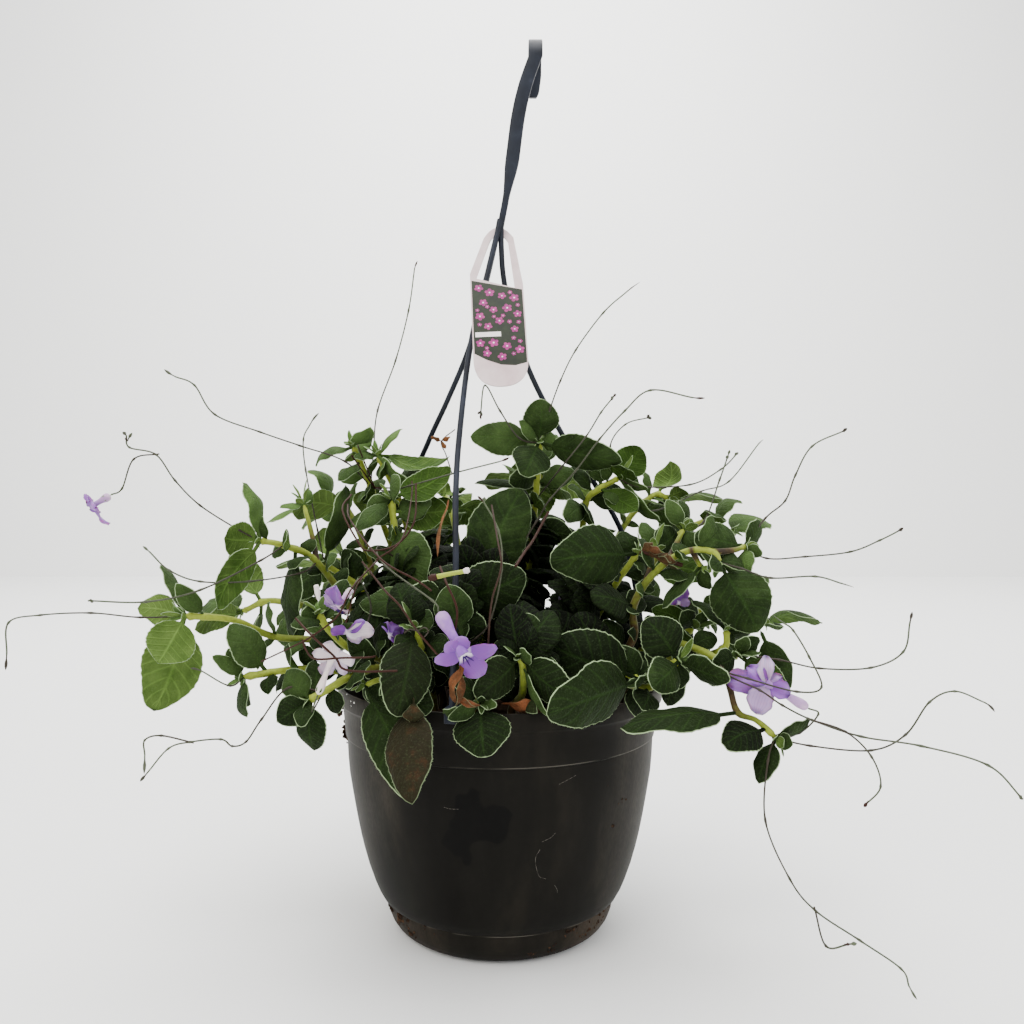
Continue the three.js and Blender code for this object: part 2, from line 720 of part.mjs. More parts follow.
function sideShoot(index, [azimuth, rootRadius, reach, height, pairs]) {
  const draw = makeDraw(7919 + index * 131);
  const angle = THREE.MathUtils.degToRad(azimuth);
  const out = new THREE.Vector3(Math.sin(angle), -Math.cos(angle), 0);
  const aside = new THREE.Vector3().crossVectors(UP, out);
  const place = (radius, side, z) => {
    const point = out.clone().multiplyScalar(radius).addScaledVector(aside, side);
    return [point.x, point.y, z];
  };
  const sway = draw(-14, 14);
  const middle = rootRadius + (reach - rootRadius) * 0.42;
  const bend = Math.max(178, 158 + (height - 158) * 0.72);
  const last = rootRadius + (reach - rootRadius) * 0.8;
  const stem = [
    place(middle, sway * 0.4, bend),
    place(last, sway, height - 2),
    place(reach, sway * 1.5, height - draw(2, 10)),
  ];
  const leaves = [];
  const tip = new THREE.Vector3(...stem[2]);
  const heading = tip.clone().sub(new THREE.Vector3(...stem[1])).normalize();
  for (let pair = 0; pair < pairs; pair += 1) {
    const at = 2 - (pair * 1.9) / pairs;
    const node = new THREE.Vector3(...stem[1]).lerp(tip, at - 1);
    if (at < 1) {
      node.set(...stem[0]).lerp(new THREE.Vector3(...stem[1]), at);
    }
    const across = pair % 2 === 0 ? aside : new THREE.Vector3().crossVectors(heading, aside).normalize();
    for (const side of [-1, 1]) {
      const length = draw(34, 52);
      const ahead = pair === 0 ? draw(0.5, 0.9) : draw(0.1, 0.5);
      const end = node.clone().addScaledVector(across, side * length * 0.8);
      end.addScaledVector(out, ahead * length).addScaledVector(UP, draw(-0.35, 0.12) * length);
      leaves.push([0, at, end.toArray(), length * draw(0.6, 0.76), draw(-25, 25), draw(3, 7)]);
    }
  }
  const [rootX, rootY] = place(rootRadius, 0, 0);
  const facing = out.clone().multiplyScalar(0.55).addScaledVector(UP, 0.8).normalize();
  return { root: [rootX, rootY], stems: [stem], leaves, stalks: [], facing };
}

// Growing the plant: every stem, stalk and flower stands first, then each leaf is swung clear of what is
// there

const standing = [];

function addCloud(owner, points, radius) {
  const box = new THREE.Box3().setFromPoints(points);
  standing.push({ owner, points, radius, box });
}

// A stalk starts a little behind its first point, so that it stands well in the stem
function stalkCurve(points) {
  const curve = smoothCurve(points);
  const [first, second] = curve.points;
  first.add(first.clone().sub(second).setLength(2));
  return curve;
}

function curvePoints(curve, step) {
  return curve.getPoints(Math.max(2, Math.ceil(curve.getLength() / step)));
}

// A leaf's frame: its root on the stem, its length, and its axes along, across and out of the blade's top
function leafFrame(root, tip, width, turn, arch, facing) {
  const along = tip.clone().sub(root);
  const length = along.length();
  along.normalize();
  let across = new THREE.Vector3().crossVectors(along, facing);
  if (across.length() < 0.05) {
    across = new THREE.Vector3(1, 0, 0);
  }
  across.normalize().applyAxisAngle(along, THREE.MathUtils.degToRad(turn));
  const out = new THREE.Vector3().crossVectors(across, along);
  return { root, along, across, out, length, width, arch };
}

function bladeHalfWidth(leaf, share) {
  return (leaf.width / 2) * Math.sin(Math.PI * share ** 0.8) ** 0.62;
}

// A point of the blade: share runs from the petiole to the tip, side from -1 to 1 across it
function bladePoint(leaf, share, side) {
  const petiole = leaf.length * PETIOLE_SHARE;
  const half = share > 0 && share < 1 ? bladeHalfWidth(leaf, share) : 0;
  const hump = leaf.arch * 4 * share * (1 - share);
  const droop = 0.22 * half * side * side;
  const point = leaf.root.clone().addScaledVector(leaf.along, petiole + (leaf.length - petiole) * share);
  point.addScaledVector(leaf.across, half * side);
  return point.addScaledVector(leaf.out, hump - droop);
}

function bladeSamples(leaf) {
  const rows = Math.max(3, Math.ceil(leaf.length / SAMPLE_STEP));
  const columns = Math.max(1, Math.ceil(leaf.width / 2 / SAMPLE_STEP));
  const points = [];
  for (let row = 1; row <= rows; row += 1) {
    for (let column = -columns; column <= columns; column += 1) {
      if (row < rows || column === 0) {
        points.push(bladePoint(leaf, row / rows, column / columns));
      }
    }
  }
  return points;
}

function hitsPot(point) {
  const radius = Math.hypot(point.x, point.y);
  if (point.z > POT_HEIGHT + 5 || radius > RIM_RADIUS + 2) {
    return false;
  }
  return radius > RIM_RADIUS - 9 || point.z < SOIL_HEIGHT + 6;
}

function isClear(owner, points) {
  if (points.some(hitsPot)) {
    return false;
  }
  const reach = new THREE.Box3().setFromPoints(points).expandByScalar(LEAF_GAP);
  for (const other of standing) {
    const isOwn = other.owner === owner;
    if ((isOwn && other.radius > 0) || !reach.intersectsBox(other.box)) {
      continue;
    }
    const gap = (isOwn ? OWN_LEAF_GAP : LEAF_GAP) + other.radius;
    if (points.some((a) => other.points.some((b) => a.distanceToSquared(b) < gap * gap))) {
      return false;
    }
  }
  return true;
}

// The tip swings towards and away from the way that the leaf faces until the blade is clear, or the leaf is
// left out
function growLeaf(owner, root, tip, width, turn, arch, facing) {
  for (const swing of [0, 4, -4, 8, -8, 12, -12, 16, -16, 20, -20, 25, -25, 30]) {
    const swung = tip.clone().addScaledVector(facing, swing);
    const leaf = leafFrame(root, swung, width, turn, arch, facing);
    const points = bladeSamples(leaf);
    if (isClear(owner, points)) {
      addCloud(owner, points, 0);
      return leaf;
    }
  }
  return null;
}

// A leaf is a lens with its petiole: one end stands in the stem, the other is the tip
function makeLeaf(leaf) {
  const shares = leaf.width < SMALL_LEAF ? [1, 0.72, 0.28, 0] : [1, 0.85, 0.52, 0.18, 0];
  const geometry = new THREE.SphereGeometry(1, 4, shares.length);
  const position = geometry.attributes.position;
  for (let i = 0; i < position.count; i += 1) {
    const ring = Math.floor(i / 5);
    const column = i % 5;
    const side = [-1, 0, 1, 0, -1][column];
    const face = [0, 1, 0, -1, 0][column];
    let point;
    if (ring === shares.length) {
      point = leaf.root.clone().addScaledVector(leaf.along, -1.5);
    } else if (ring === shares.length - 1) {
      point = bladePoint(leaf, 0, 0);
      point.addScaledVector(leaf.across, side * PETIOLE_RADIUS);
      point.addScaledVector(leaf.out, face * PETIOLE_RADIUS);
    } else {
      const share = shares[ring];
      const fullness = ring === 0 ? 0 : Math.min(1, 3 * (1 - share) + 0.35);
      point = bladePoint(leaf, share, side);
      point.addScaledVector(leaf.out, (face * fullness * BLADE_THICKNESS) / 2);
    }
    position.setXYZ(i, point.x, point.y, point.z);
  }
  return toSolid(geometry);
}

// A flower: a narrow tube that opens at the throat into five round lobes, the lower three larger
function bloomFrame(bloom) {
  const base = new THREE.Vector3(...bloom.base);
  const throat = new THREE.Vector3(...bloom.throat);
  const tubeWay = throat.clone().sub(base).normalize();
  const face = new THREE.Vector3(...bloom.face).normalize();
  const upward = UP.clone().addScaledVector(face, -UP.dot(face)).normalize();
  const aside = new THREE.Vector3().crossVectors(upward, face);
  return { base, throat, tubeWay, face, upward, aside };
}

const lobes = [
  { angle: 32, size: 0.72 },
  { angle: -32, size: 0.72 },
  { angle: 104, size: 0.95 },
  { angle: -104, size: 0.95 },
  { angle: 180, size: 1.12 },
];

function makeLobe({ throat, face, upward, aside }, petal, { angle, size }) {
  const turn = THREE.MathUtils.degToRad(angle);
  const along = upward.clone().multiplyScalar(Math.cos(turn)).addScaledVector(aside, Math.sin(turn));
  const across = new THREE.Vector3().crossVectors(along, face);
  const length = petal * size;
  const rings = [[1, 0], [0.74, 0.36], [0.2, 0.19], [-0.12, 0]];
  const geometry = new THREE.SphereGeometry(1, 4, rings.length - 1);
  const position = geometry.attributes.position;
  for (let i = 0; i < position.count; i += 1) {
    const [reach, half] = rings[Math.floor(i / 5)];
    const side = [-1, 0, 1, 0, -1][i % 5];
    const front = [0, 1, 0, -1, 0][i % 5];
    const point = throat.clone().addScaledVector(along, reach * length);
    point.addScaledVector(across, side * half * length);
    point.addScaledVector(face, (half > 0 ? front * 0.7 : 0) - 0.1 * reach * length);
    position.setXYZ(i, point.x, point.y, point.z);
  }
  return toSolid(geometry);
}

function makeBloom(bloom) {
  const frame = bloomFrame(bloom);
  const start = frame.base.clone().addScaledVector(frame.tubeWay, BLOOM_GAP);
  const bend = frame.base.clone().lerp(frame.throat, 0.6);
  const end = frame.throat.clone().addScaledVector(frame.face, 0.5);
  const curve = new THREE.CatmullRomCurve3([start, bend, end], false, 'catmullrom', 0.5);
  const tube = bar(curve.getPoints(3), (along) => 1.4 + 2.4 * along, 5);
  return toGeometry(join([tube, ...lobes.map((lobe) => makeLobe(frame, bloom.petal, lobe))]));
}

function bloomPoints(bloom) {
  const { base, throat, face, upward, aside } = bloomFrame(bloom);
  const points = [0.1, 0.4, 0.7, 1].map((share) => base.clone().lerp(throat, share));
  for (let angle = 0; angle < 360; angle += 24) {
    const turn = THREE.MathUtils.degToRad(angle);
    const along = upward.clone().multiplyScalar(Math.cos(turn)).addScaledVector(aside, Math.sin(turn));
    [0.35, 0.7, 1].forEach((share) => {
      const point = throat.clone().addScaledVector(along, share * bloom.petal);
      points.push(point.addScaledVector(face, -0.1 * share * bloom.petal));
    });
  }
  return points;
}

// A shoot's stems taper from the root to the tip, and its branches are finer
function stemRadius(index) {
  return index === 0 ? (along) => 3 - 1.1 * along : (along) => 2.1 - 0.8 * along;
}

Object.entries(sideShoots).forEach(([name, values], index) => {
  shoots[name] = sideShoot(index, values);
});

Object.values(blooms).forEach((bloom) => {
  const { base, tubeWay } = bloomFrame(bloom);
  const behind = base.clone().addScaledVector(tubeWay, -7);
  shoots[bloom.shoot].stalks.push([...bloom.route, behind.toArray(), bloom.base]);
});

const curves = {};
for (const [name, shoot] of Object.entries(shoots)) {
  const [x, y] = shoot.root;
  const foot = STEM_FOOT.map((z) => [x, y, z]);
  const stems = shoot.stems.map((points, i) => smoothCurve(i === 0 ? [...foot, ...points] : points));
  const stalks = shoot.stalks.map(stalkCurve);
  curves[name] = { stems, stalks };
  stems.forEach((stem) => addCloud(name, curvePoints(stem, 4), 2.2));
  stalks.forEach((stalk) => addCloud(name, curvePoints(stalk, 4), STALK_RADIUS));
}
Object.keys(legRoutes).forEach((name) => addCloud('hanger', curvePoints(legCurve(name), 4), LEG_RADIUS));
Object.entries(blooms).forEach(([name, bloom]) => addCloud(name, bloomPoints(bloom), 0.5));

function makeShoot(name, { stems: stemPoints, leaves, stalks: stalkPoints, facing = FRONT }) {
  const { stems, stalks } = curves[name];
  const solids = stems.map((stem, i) => bar(ringPoints(stem), stemRadius(i), STEM_SIDES));
  for (const stalk of stalks) {
    solids.push(bar(ringPoints(stalk), () => STALK_RADIUS, STALK_SIDES));
  }
  for (const [stemIndex, at, tip, width, turn, arch] of leaves) {
    const offset = stemIndex === 0 ? STEM_FOOT.length : 0;
    const segments = stemPoints[stemIndex].length + offset - 1;
    const root = stems[stemIndex].getPoint((at + offset) / segments);
    const leaf = growLeaf(name, root, new THREE.Vector3(...tip), width, turn, arch, facing);
    if (leaf) {
      solids.push(makeLeaf(leaf));
    }
  }
  return toGeometry(join(solids));
}

// The whole object

const group = new THREE.Group();

function addMesh(name, geometry, colour, roughness) {
  const material = new THREE.MeshStandardMaterial({ color: colour, roughness });
  const mesh = new THREE.Mesh(geometry, material);
  mesh.name = name;
  group.add(mesh);
  return mesh;
}

const stemFeet = Object.values(shoots).map(({ root: [x, y] }) => ({ x, y, radius: stemRadius(0)(0) }));

addMesh('pot', makePot(), '#2b2926', 0.5);
addMesh('saucer', makeSaucer(), '#2f2c29', 0.55);
addMesh('soil', makeSoil(stemFeet), '#2a1d14', 1);
addMesh('hanger', makeHanger(), '#2c2e36', 0.35);
const label = addMesh('care_label', makeLabel(), '#3c4a2a', 0.4);
label.position.set(labelPlace.x, labelPlace.y, labelPlace.z);
label.rotation.set(THREE.MathUtils.degToRad(labelPlace.lean), 0, 0);
label.rotateZ(THREE.MathUtils.degToRad(labelPlace.roll));
for (const [name, shoot] of Object.entries(shoots)) {
  addMesh(`shoot_${name}`, makeShoot(name, shoot), '#3c5a2c', 0.8);
}
for (const [name, bloom] of Object.entries(blooms)) {
  addMesh(name, makeBloom(bloom), '#a27fc9', 0.6);
}

export default group;
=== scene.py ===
# A cape primrose in its black hanging pot: looks, floor, light and camera.
# Metres, +Z up, and -Y is the front. The tables of the plant are in millimetres.
import bpy
import math
import numpy as np
from mathutils import Matrix, Vector, kdtree


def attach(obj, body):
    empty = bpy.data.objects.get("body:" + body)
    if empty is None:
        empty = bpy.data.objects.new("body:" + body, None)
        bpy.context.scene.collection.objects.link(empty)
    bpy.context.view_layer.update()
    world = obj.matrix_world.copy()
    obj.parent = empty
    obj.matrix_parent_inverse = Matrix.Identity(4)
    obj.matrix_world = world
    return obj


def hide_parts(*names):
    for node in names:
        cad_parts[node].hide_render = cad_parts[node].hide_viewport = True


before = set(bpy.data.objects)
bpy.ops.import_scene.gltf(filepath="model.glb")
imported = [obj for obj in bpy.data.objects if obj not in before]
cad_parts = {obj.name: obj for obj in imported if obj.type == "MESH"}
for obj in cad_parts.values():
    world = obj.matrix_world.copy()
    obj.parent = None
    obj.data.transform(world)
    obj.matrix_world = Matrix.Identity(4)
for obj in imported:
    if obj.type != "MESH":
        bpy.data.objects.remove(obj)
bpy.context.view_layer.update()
mm = 0.001

# Small helpers


def toLinear(hexColour):
    values = [int(hexColour[i:i + 2], 16) / 255 for i in (1, 3, 5)]
    return [v / 12.92 if v <= 0.04045 else ((v + 0.055) / 1.055) ** 2.4 for v in values] + [1.0]


def newMaterial(name):
    material = bpy.data.materials.new(name)
    material.use_nodes = True
    material.node_tree.nodes.clear()
    return material


# Adds a node with its settings, and with a value or a link for each socket: a node means its first output
def addNode(material, kind, sockets=None, **settings):
    node = material.node_tree.nodes.new("ShaderNode" + kind)
    for name, value in settings.items():
        if name == "stops":
            elements = node.color_ramp.elements
            elements[0].position, elements[0].color = value[0][0], toLinear(value[0][1])
            elements[1].position, elements[1].color = value[-1][0], toLinear(value[-1][1])
            for place, colour in value[1:-1]:
                elements.new(place).color = toLinear(colour)
        else:
            setattr(node, name, value)
    for name, value in (sockets or {}).items():
        value = value.outputs[0] if isinstance(value, bpy.types.Node) else value
        if isinstance(value, bpy.types.NodeSocket):
            material.node_tree.links.new(value, node.inputs[name])
        else:
            node.inputs[name].default_value = value
    return node


def deselectAll():
    bpy.ops.object.select_all(action="DESELECT")


def addObject(name, content):
    piece = bpy.data.objects.new(name, content)
    bpy.context.collection.objects.link(piece)
    return piece


# Points and faces of the primitive just added, which is then removed
def takeMesh():
    master = bpy.context.object
    points = np.array([vertex.co[:] for vertex in master.data.vertices])
    faces = [list(face.vertices) for face in master.data.polygons]
    bpy.data.objects.remove(master)
    return points, faces


def setActive(piece):
    deselectAll()
    piece.select_set(True)
    bpy.context.view_layer.objects.active = piece


def finishPiece(piece, slot, *nodes):
    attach(piece, "root")
    if nodes:
        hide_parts(*nodes)


def joinPieces(name, pieces):
    setActive(pieces[0])
    for piece in pieces:
        piece.select_set(True)
    if len(pieces) > 1:
        bpy.ops.object.join()
    pieces[0].name = pieces[0].data.name = name
    return pieces[0]


# Seeded draws, so that the plant is the same each time: the minimal standard generator
def makeDraw(seed):
    state = [seed]

    def draw(low, high):
        state[0] = (state[0] * 16807) % (2 ** 31 - 1)
        return low + (high - low) * (state[0] / (2 ** 31 - 1))
    return draw


# The plant's tables, in millimetres
# Each shoot has the place of its root in the soil, its stems, its leaves and its flower stalks. A stem after
# the first one starts on a point of the first one. A leaf gives the stem that it grows on, the place along
# that stem's points, its tip, its width, how far it is turned from facing the front, and its arch.

shoots = {
    "left_reach": {
        "root": [-60, -38],
        "stems": [[[-95, -48, 189], [-138, -56, 196], [-160, -69, 208], [-184, -82, 212]]],
        "leaves": [[0, 3, [-198, -90, 158], 36, 180, 6], [0, 3, [-190, -108, 188], 28, 160, 6],
                   [0, 3, [-214, -78, 216], 19, 180, 3], [0, 3, [-202, -72, 242], 14, 80, 2],
                   [0, 2.6, [-186, -76, 232], 12, 20, 2]],
        "stalks": [
            [[-184, -82, 212], [-207, -90, 212], [-234, -94, 215], [-262, -96, 214], [-279, -98, 210],
             [-279, -100, 192]],
        ],
    },
    "left_upper": {
        "root": [-72, -8],
        "stems": [[[-92, -20, 200], [-117, -35, 241], [-136, -45, 252], [-149, -50, 255]],
                  [[-117, -35, 241], [-121, -31, 258], [-127, -28, 278]]],
        "leaves": [[0, 1.6, [-132, -58, 193], 27, 50, 5], [0, 3, [-166, -68, 257], 24, 180, 4],
                   [0, 3, [-157, -46, 292], 20, 78, 4], [0, 3, [-164, -62, 216], 22, 130, 4]],
        "stalks": [
            [[-149, -50, 255], [-160, -58, 262], [-181, -66, 277], [-194, -72, 292], [-203, -78, 307],
             [-217, -82, 311], [-218, -84, 318]],
            [[-117, -35, 241], [-124, -50, 235], [-151, -66, 231], [-176, -80, 232], [-192, -86, 239],
             [-202, -90, 250]],
            [[-136, -45, 252], [-143, -70, 244], [-172, -92, 228], [-200, -100, 222], [-231, -104, 223]],
        ],
    },
    "left_blade": {
        "root": [-64, 6],
        "stems": [[[-82, 7, 196], [-97, 5, 221], [-119, -2, 238]]],
        "leaves": [[0, 2, [-107, 12, 292], 28, 72, 6], [0, 2, [-143, -10, 214], 24, 30, 3],
                   [0, 1, [-108, 10, 248], 16, 20, 3], [0, 1.2, [-122, 14, 243], 12, 60, 2]],
        "stalks": [[[-119, -2, 238], [-122, -10, 261], [-129, -14, 301], [-130, -16, 321], [-125, -18, 331]]],
    },
    "left_top": {
        "root": [-45, 48],
        "stems": [[[-52, 46, 190], [-80, 41, 250], [-93, 32, 291], [-104, 22, 319]]],
        "leaves": [[0, 3, [-90, 12, 332], 18, 60, 4], [0, 3, [-131, 20, 307], 20, 65, 5],
                   [0, 2.6, [-110, 10, 294], 14, 40, 2], [0, 2, [-96, 12, 271], 20, 160, 3]],
        "stalks": [
            [[-93, 32, 291], [-90, 26, 318], [-87, 25, 345], [-75, 30, 381], [-66, 32, 417], [-62, 35, 448]],
            [[-93, 32, 291], [-108, 14, 308], [-136, 0, 318], [-159, -15, 326], [-184, -30, 336],
             [-195, -36, 354], [-206, -40, 359]],
            [[-93, 32, 291], [-75, -10, 287], [-58, -30, 290], [-28, -38, 298], [0, -40, 305]],
        ],
    },
    "left_crest": {
        "root": [-30, 25],
        "stems": [[[-42, 26, 190], [-62, 24, 245], [-71, 20, 281], [-85, 12, 312]]],
        "leaves": [[0, 3, [-34, 4, 308], 26, 115, 8], [0, 3, [-63, -4, 290], 22, 70, 3]],
        "stalks": [],
    },
    "left_middle": {
        "root": [-38, -22],
        "stems": [[[-52, -22, 195], [-66, -20, 241], [-72, -16, 281]]],
        "leaves": [[0, 2, [-32, -8, 302], 24, 150, 4], [0, 1.8, [-35, -24, 273], 28, 160, 4],
                   [0, 1.6, [-49, -42, 223], 32, 20, 5], [0, 2, [-88, -18, 276], 13, 0, 2],
                   [0, 2, [-90, -24, 262], 14, 20, 2]],
        "stalks": [],
    },
    "crown": {
        "root": [8, 12],
        "stems": [[[14, 12, 190], [20, 10, 240], [24, 5, 281], [26, -2, 320]]],
        "leaves": [[0, 3, [-20, -8, 324], 24, 10, 4], [0, 3, [27, 16, 348], 25, 5, 3],
                   [0, 3, [40, -10, 322], 14, 0, 2], [0, 3, [16, -34, 297], 27, 0, 3],
                   [0, 3, [80, -10, 305], 25, 30, 5], [0, 2.4, [6, -22, 292], 15, 10, 2],
                   [0, 2.2, [-17, -12, 293], 12, 60, 2], [0, 1.5, [48, -20, 258], 19, 10, 3]],
        "stalks": [
            [[26, -2, 320], [33, -12, 341], [40, -14, 360], [50, -16, 380], [68, -20, 404], [84, -22, 418]],
            [[26, -2, 320], [13, -12, 322], [0, -14, 340], [-10, -14, 357], [-13, -14, 338]],
            [[24, 5, 281], [40, -22, 302], [56, -24, 322], [66, -24, 338], [74, -24, 348]],
        ],
    },
    "right_top": {
        "root": [48, 18],
        "stems": [[[52, 17, 190], [56, 12, 240], [58, 5, 278], [68, 0, 289], [80, -3, 296]]],
        "leaves": [[0, 4, [95, -2, 317], 24, 180, 3], [0, 4, [104, -18, 266], 14, 65, 3],
                   [0, 3, [90, -28, 272], 18, 170, 3], [0, 2, [42, -24, 268], 17, 0, 3],
                   [0, 2.6, [47, -2, 304], 12, 30, 2]],
        "stalks": [
            [[80, -3, 296], [73, -14, 316], [83, -14, 331], [100, -14, 336]],
            [[80, -3, 296], [92, 2, 280], [106, 5, 274], [137, 6, 287], [157, 8, 294], [178, 10, 320]],
            [[80, -3, 296], [92, -12, 290], [125, -18, 291], [145, -20, 301], [156, -22, 312]],
        ],
    },
    "centre": {
        "root": [-8, -40],
        "stems": [[[-10, -44, 185], [-14, -50, 226]]],
        "leaves": [[0, 1, [15, -30, 289], 40, 8, 6], [0, 1, [-2, -8, 281], 18, 30, 3]],
        "stalks": [
            [[-14, -50, 226], [4, -40, 238], [23, -36, 266], [32, -40, 281], [48, -46, 299], [62, -54, 318],
             [77, -60, 335], [92, -64, 347], [117, -68, 342]],
        ],
    },
    "centre_low": {
        "root": [-22, -58],
        "stems": [[[-26, -64, 190], [-30, -62, 217]]],
        "leaves": [[0, 1, [16, -72, 236], 35, 0, 5], [0, 0.6, [-8, -82, 205], 19, 0, 3],
                   [0, 1, [-58, -78, 219], 29, 0, 4], [0, 1, [-86, -62, 219], 24, 35, 5]],
        "stalks": [
            [[-26, -64, 190], [-12, -84, 200], [-4, -92, 212], [2, -94, 240], [0, -84, 262], [-10, -78, 281]],
        ],
    },
    "front_fold": {
        "root": [-40, -60],
        "stems": [[[-44, -72, 185], [-49, -90, 205]]],
        "leaves": [[0, 1, [-54, -124, 163], 30, -15, 4], [0, 0.7, [-66, -100, 171], 12, 0, 2]],
        "stalks": [],
    },
    "front_rosette": {
        "root": [8, -74],
        "stems": [[[14, -90, 168], [14, -97, 185], [12, -98, 190]]],
        "leaves": [[0, 2, [18, -92, 215], 26, 0, 3], [0, 2, [-11, -124, 171], 24, -20, 4],
                   [0, 2, [45, -116, 169], 24, 20, 4], [0, 2, [-3, -104, 197], 13, 0, 2]],
        "stalks": [],
    },
    "right_big": {
        "root": [52, -30],
        "stems": [[[58, -34, 195], [72, -42, 225], [86, -50, 247]]],
        "leaves": [[0, 2, [32, -76, 244], 37, 5, 6], [0, 2, [96, -56, 238], 12, 0, 1]],
        "stalks": [],
    },
    "front_right": {
        "root": [46, -60],
        "stems": [[[52, -66, 175], [70, -76, 178], [83, -84, 175]]],
        "leaves": [[0, 2, [29, -92, 196], 38, 0, 5], [0, 2, [26, -122, 166], 36, -10, 5],
                   [0, 2, [71, -98, 194], 15, 0, 2], [0, 2, [80, -104, 178], 12, 10, 2]],
        "stalks": [],
    },
    "front_hang": {
        "root": [-14, -80],
        "stems": [[[-12, -92, 169], [-10, -107, 166]]],
        "leaves": [[0, 1, [-7, -126, 141], 32, 0, 4]],
        "stalks": [],
    },
    "front_left_hang": {
        "root": [-52, -76],
        "stems": [[[-52, -92, 172], [-51, -104, 168]], [[-52, -92, 172], [-66, -96, 177], [-76, -96, 174]]],
        "leaves": [[1, 2, [-48, -126, 119], 28, -15, 6], [0, 1, [-45, -136, 126], 28, 15, 5]],
        "stalks": [],
    },
    "left_low": {
        "root": [-66, -56],
        "stems": [[[-68, -78, 180], [-84, -96, 179], [-99, -102, 171], [-106, -104, 167]]],
        "leaves": [[0, 3, [-121, -98, 183], 18, 0, 3], [0, 3, [-122, -114, 157], 18, 0, 3],
                   [0, 3, [-105, -112, 137], 20, 20, 4], [0, 2.6, [-107, -92, 188], 13, 30, 2]],
        "stalks": [
            [[-99, -102, 171], [-118, -104, 174], [-131, -112, 158], [-138, -117, 147], [-145, -119, 145],
             [-151, -120, 149], [-167, -122, 148], [-178, -124, 145], [-189, -126, 132]],
            [[-167, -122, 148], [-182, -124, 152], [-190, -126, 150], [-190, -126, 142]],
        ],
    },
    "left_middle_low": {
        "root": [-78, -34],
        "stems": [[[-98, -42, 171], [-121, -60, 177], [-152, -76, 175]]],
        "leaves": [[0, 2, [-148, -86, 153], 18, 50, 3], [0, 2, [-158, -70, 152], 12, 80, 2],
                   [0, 1.6, [-158, -72, 207], 22, 40, 3], [0, 2, [-161, -88, 192], 12, 40, 2]],
        "stalks": [[[-152, -76, 175], [-156, -88, 172], [-171, -94, 182]]],
    },
    "left_rosette": {
        "root": [-54, -44],
        "stems": [[[-66, -62, 180], [-86, -82, 192], [-98, -88, 204], [-104, -90, 214]]],
        "leaves": [[0, 3, [-113, -96, 213], 12, 0, 1], [0, 3, [-111, -98, 203], 13, 0, 1],
                   [0, 2.6, [-91, -82, 233], 14, 10, 2]],
        "stalks": [],
    },
    "right_arch": {
        "root": [62, -46],
        "stems": [
            [[72, -50, 175], [83, -55, 196], [82, -58, 213], [89, -62, 229], [102, -66, 243], [116, -70, 250],
             [128, -74, 249], [131, -76, 243]],
            [[128, -74, 249], [142, -68, 250], [150, -62, 252]],
            [[102, -66, 243], [110, -54, 254], [115, -48, 262]],
            [[89, -62, 229], [94, -54, 240], [97, -50, 249]],
            [[116, -70, 250], [122, -66, 240]],
        ],
        "leaves": [[0, 7, [151, -88, 203], 36, 5, 5], [1, 2, [117, -72, 258], 24, 15, 3],
                   [1, 2, [162, -54, 268], 16, 35, 2], [1, 2, [149, -72, 236], 12, 40, 2],
                   [2, 2, [105, -46, 281], 12, 10, 2], [2, 2, [123, -54, 248], 12, 10, 2],
                   [3, 2, [90, -42, 267], 14, 30, 2], [3, 2, [112, -42, 262], 20, 10, 2],
                   [4, 1, [97, -74, 216], 12, 60, 2]],
        "stalks": [
            [[150, -62, 252], [164, -56, 269], [177, -54, 280], [184, -52, 296], [195, -50, 314],
             [216, -48, 324]],
            [[150, -62, 252], [162, -66, 245], [185, -67, 246], [212, -68, 249], [229, -70, 256],
             [242, -72, 263]],
            [[131, -76, 243], [142, -86, 240], [157, -92, 235], [182, -94, 236], [197, -96, 232]],
            [[115, -48, 262], [130, -38, 267], [142, -30, 294], [148, -28, 310]],
        ],
    },
    "right_middle": {
        "root": [60, -62],
        "stems": [[[72, -72, 170], [88, -88, 171], [97, -94, 184], [103, -98, 188]]],
        "leaves": [[0, 3, [84, -96, 212], 26, 5, 4], [0, 3, [84, -112, 177], 22, 10, 3],
                   [0, 3, [102, -116, 172], 13, 10, 2], [0, 3, [124, -116, 184], 18, 30, 2],
                   [0, 3, [97, -102, 160], 15, 30, 2]],
        "stalks": [],
    },
    "right_low": {
        "root": [78, -34],
        "stems": [[[92, -48, 180], [103, -66, 194], [118, -84, 192], [128, -94, 188], [136, -100, 192]],
                  [[128, -94, 188], [131, -102, 174], [134, -108, 161], [144, -110, 157], [154, -112, 148]]],
        "leaves": [[0, 4, [121, -114, 187], 15, 0, 2], [0, 4, [148, -102, 202], 12, 20, 1],
                   [0, 4, [163, -108, 172], 24, 140, 6], [1, 2, [66, -128, 157], 26, 72, 5],
                   [1, 3.5, [122, -126, 147], 22, 45, 3], [1, 4, [174, -112, 158], 15, 45, 2],
                   [1, 4, [142, -120, 125], 15, 50, 3]],
        "stalks": [
            [[136, -100, 192], [158, -106, 190], [179, -110, 186], [206, -114, 187], [223, -116, 196],
             [226, -118, 213]],
            [[128, -94, 188], [124, -116, 186], [134, -130, 184], [160, -130, 177], [174, -128, 179],
             [168, -126, 195], [160, -124, 209], [155, -122, 213]],
            [[128, -94, 188], [126, -118, 184], [140, -131, 178], [152, -131, 170], [168, -131, 162],
             [193, -134, 154], [223, -138, 150], [256, -142, 141], [273, -144, 124]],
            [[168, -131, 162], [184, -136, 157], [196, -140, 145], [200, -142, 130], [191, -143, 120]],
            [[154, -112, 148], [171, -118, 145], [202, -124, 144], [220, -126, 153], [232, -128, 171],
             [245, -129, 177], [261, -130, 171]],
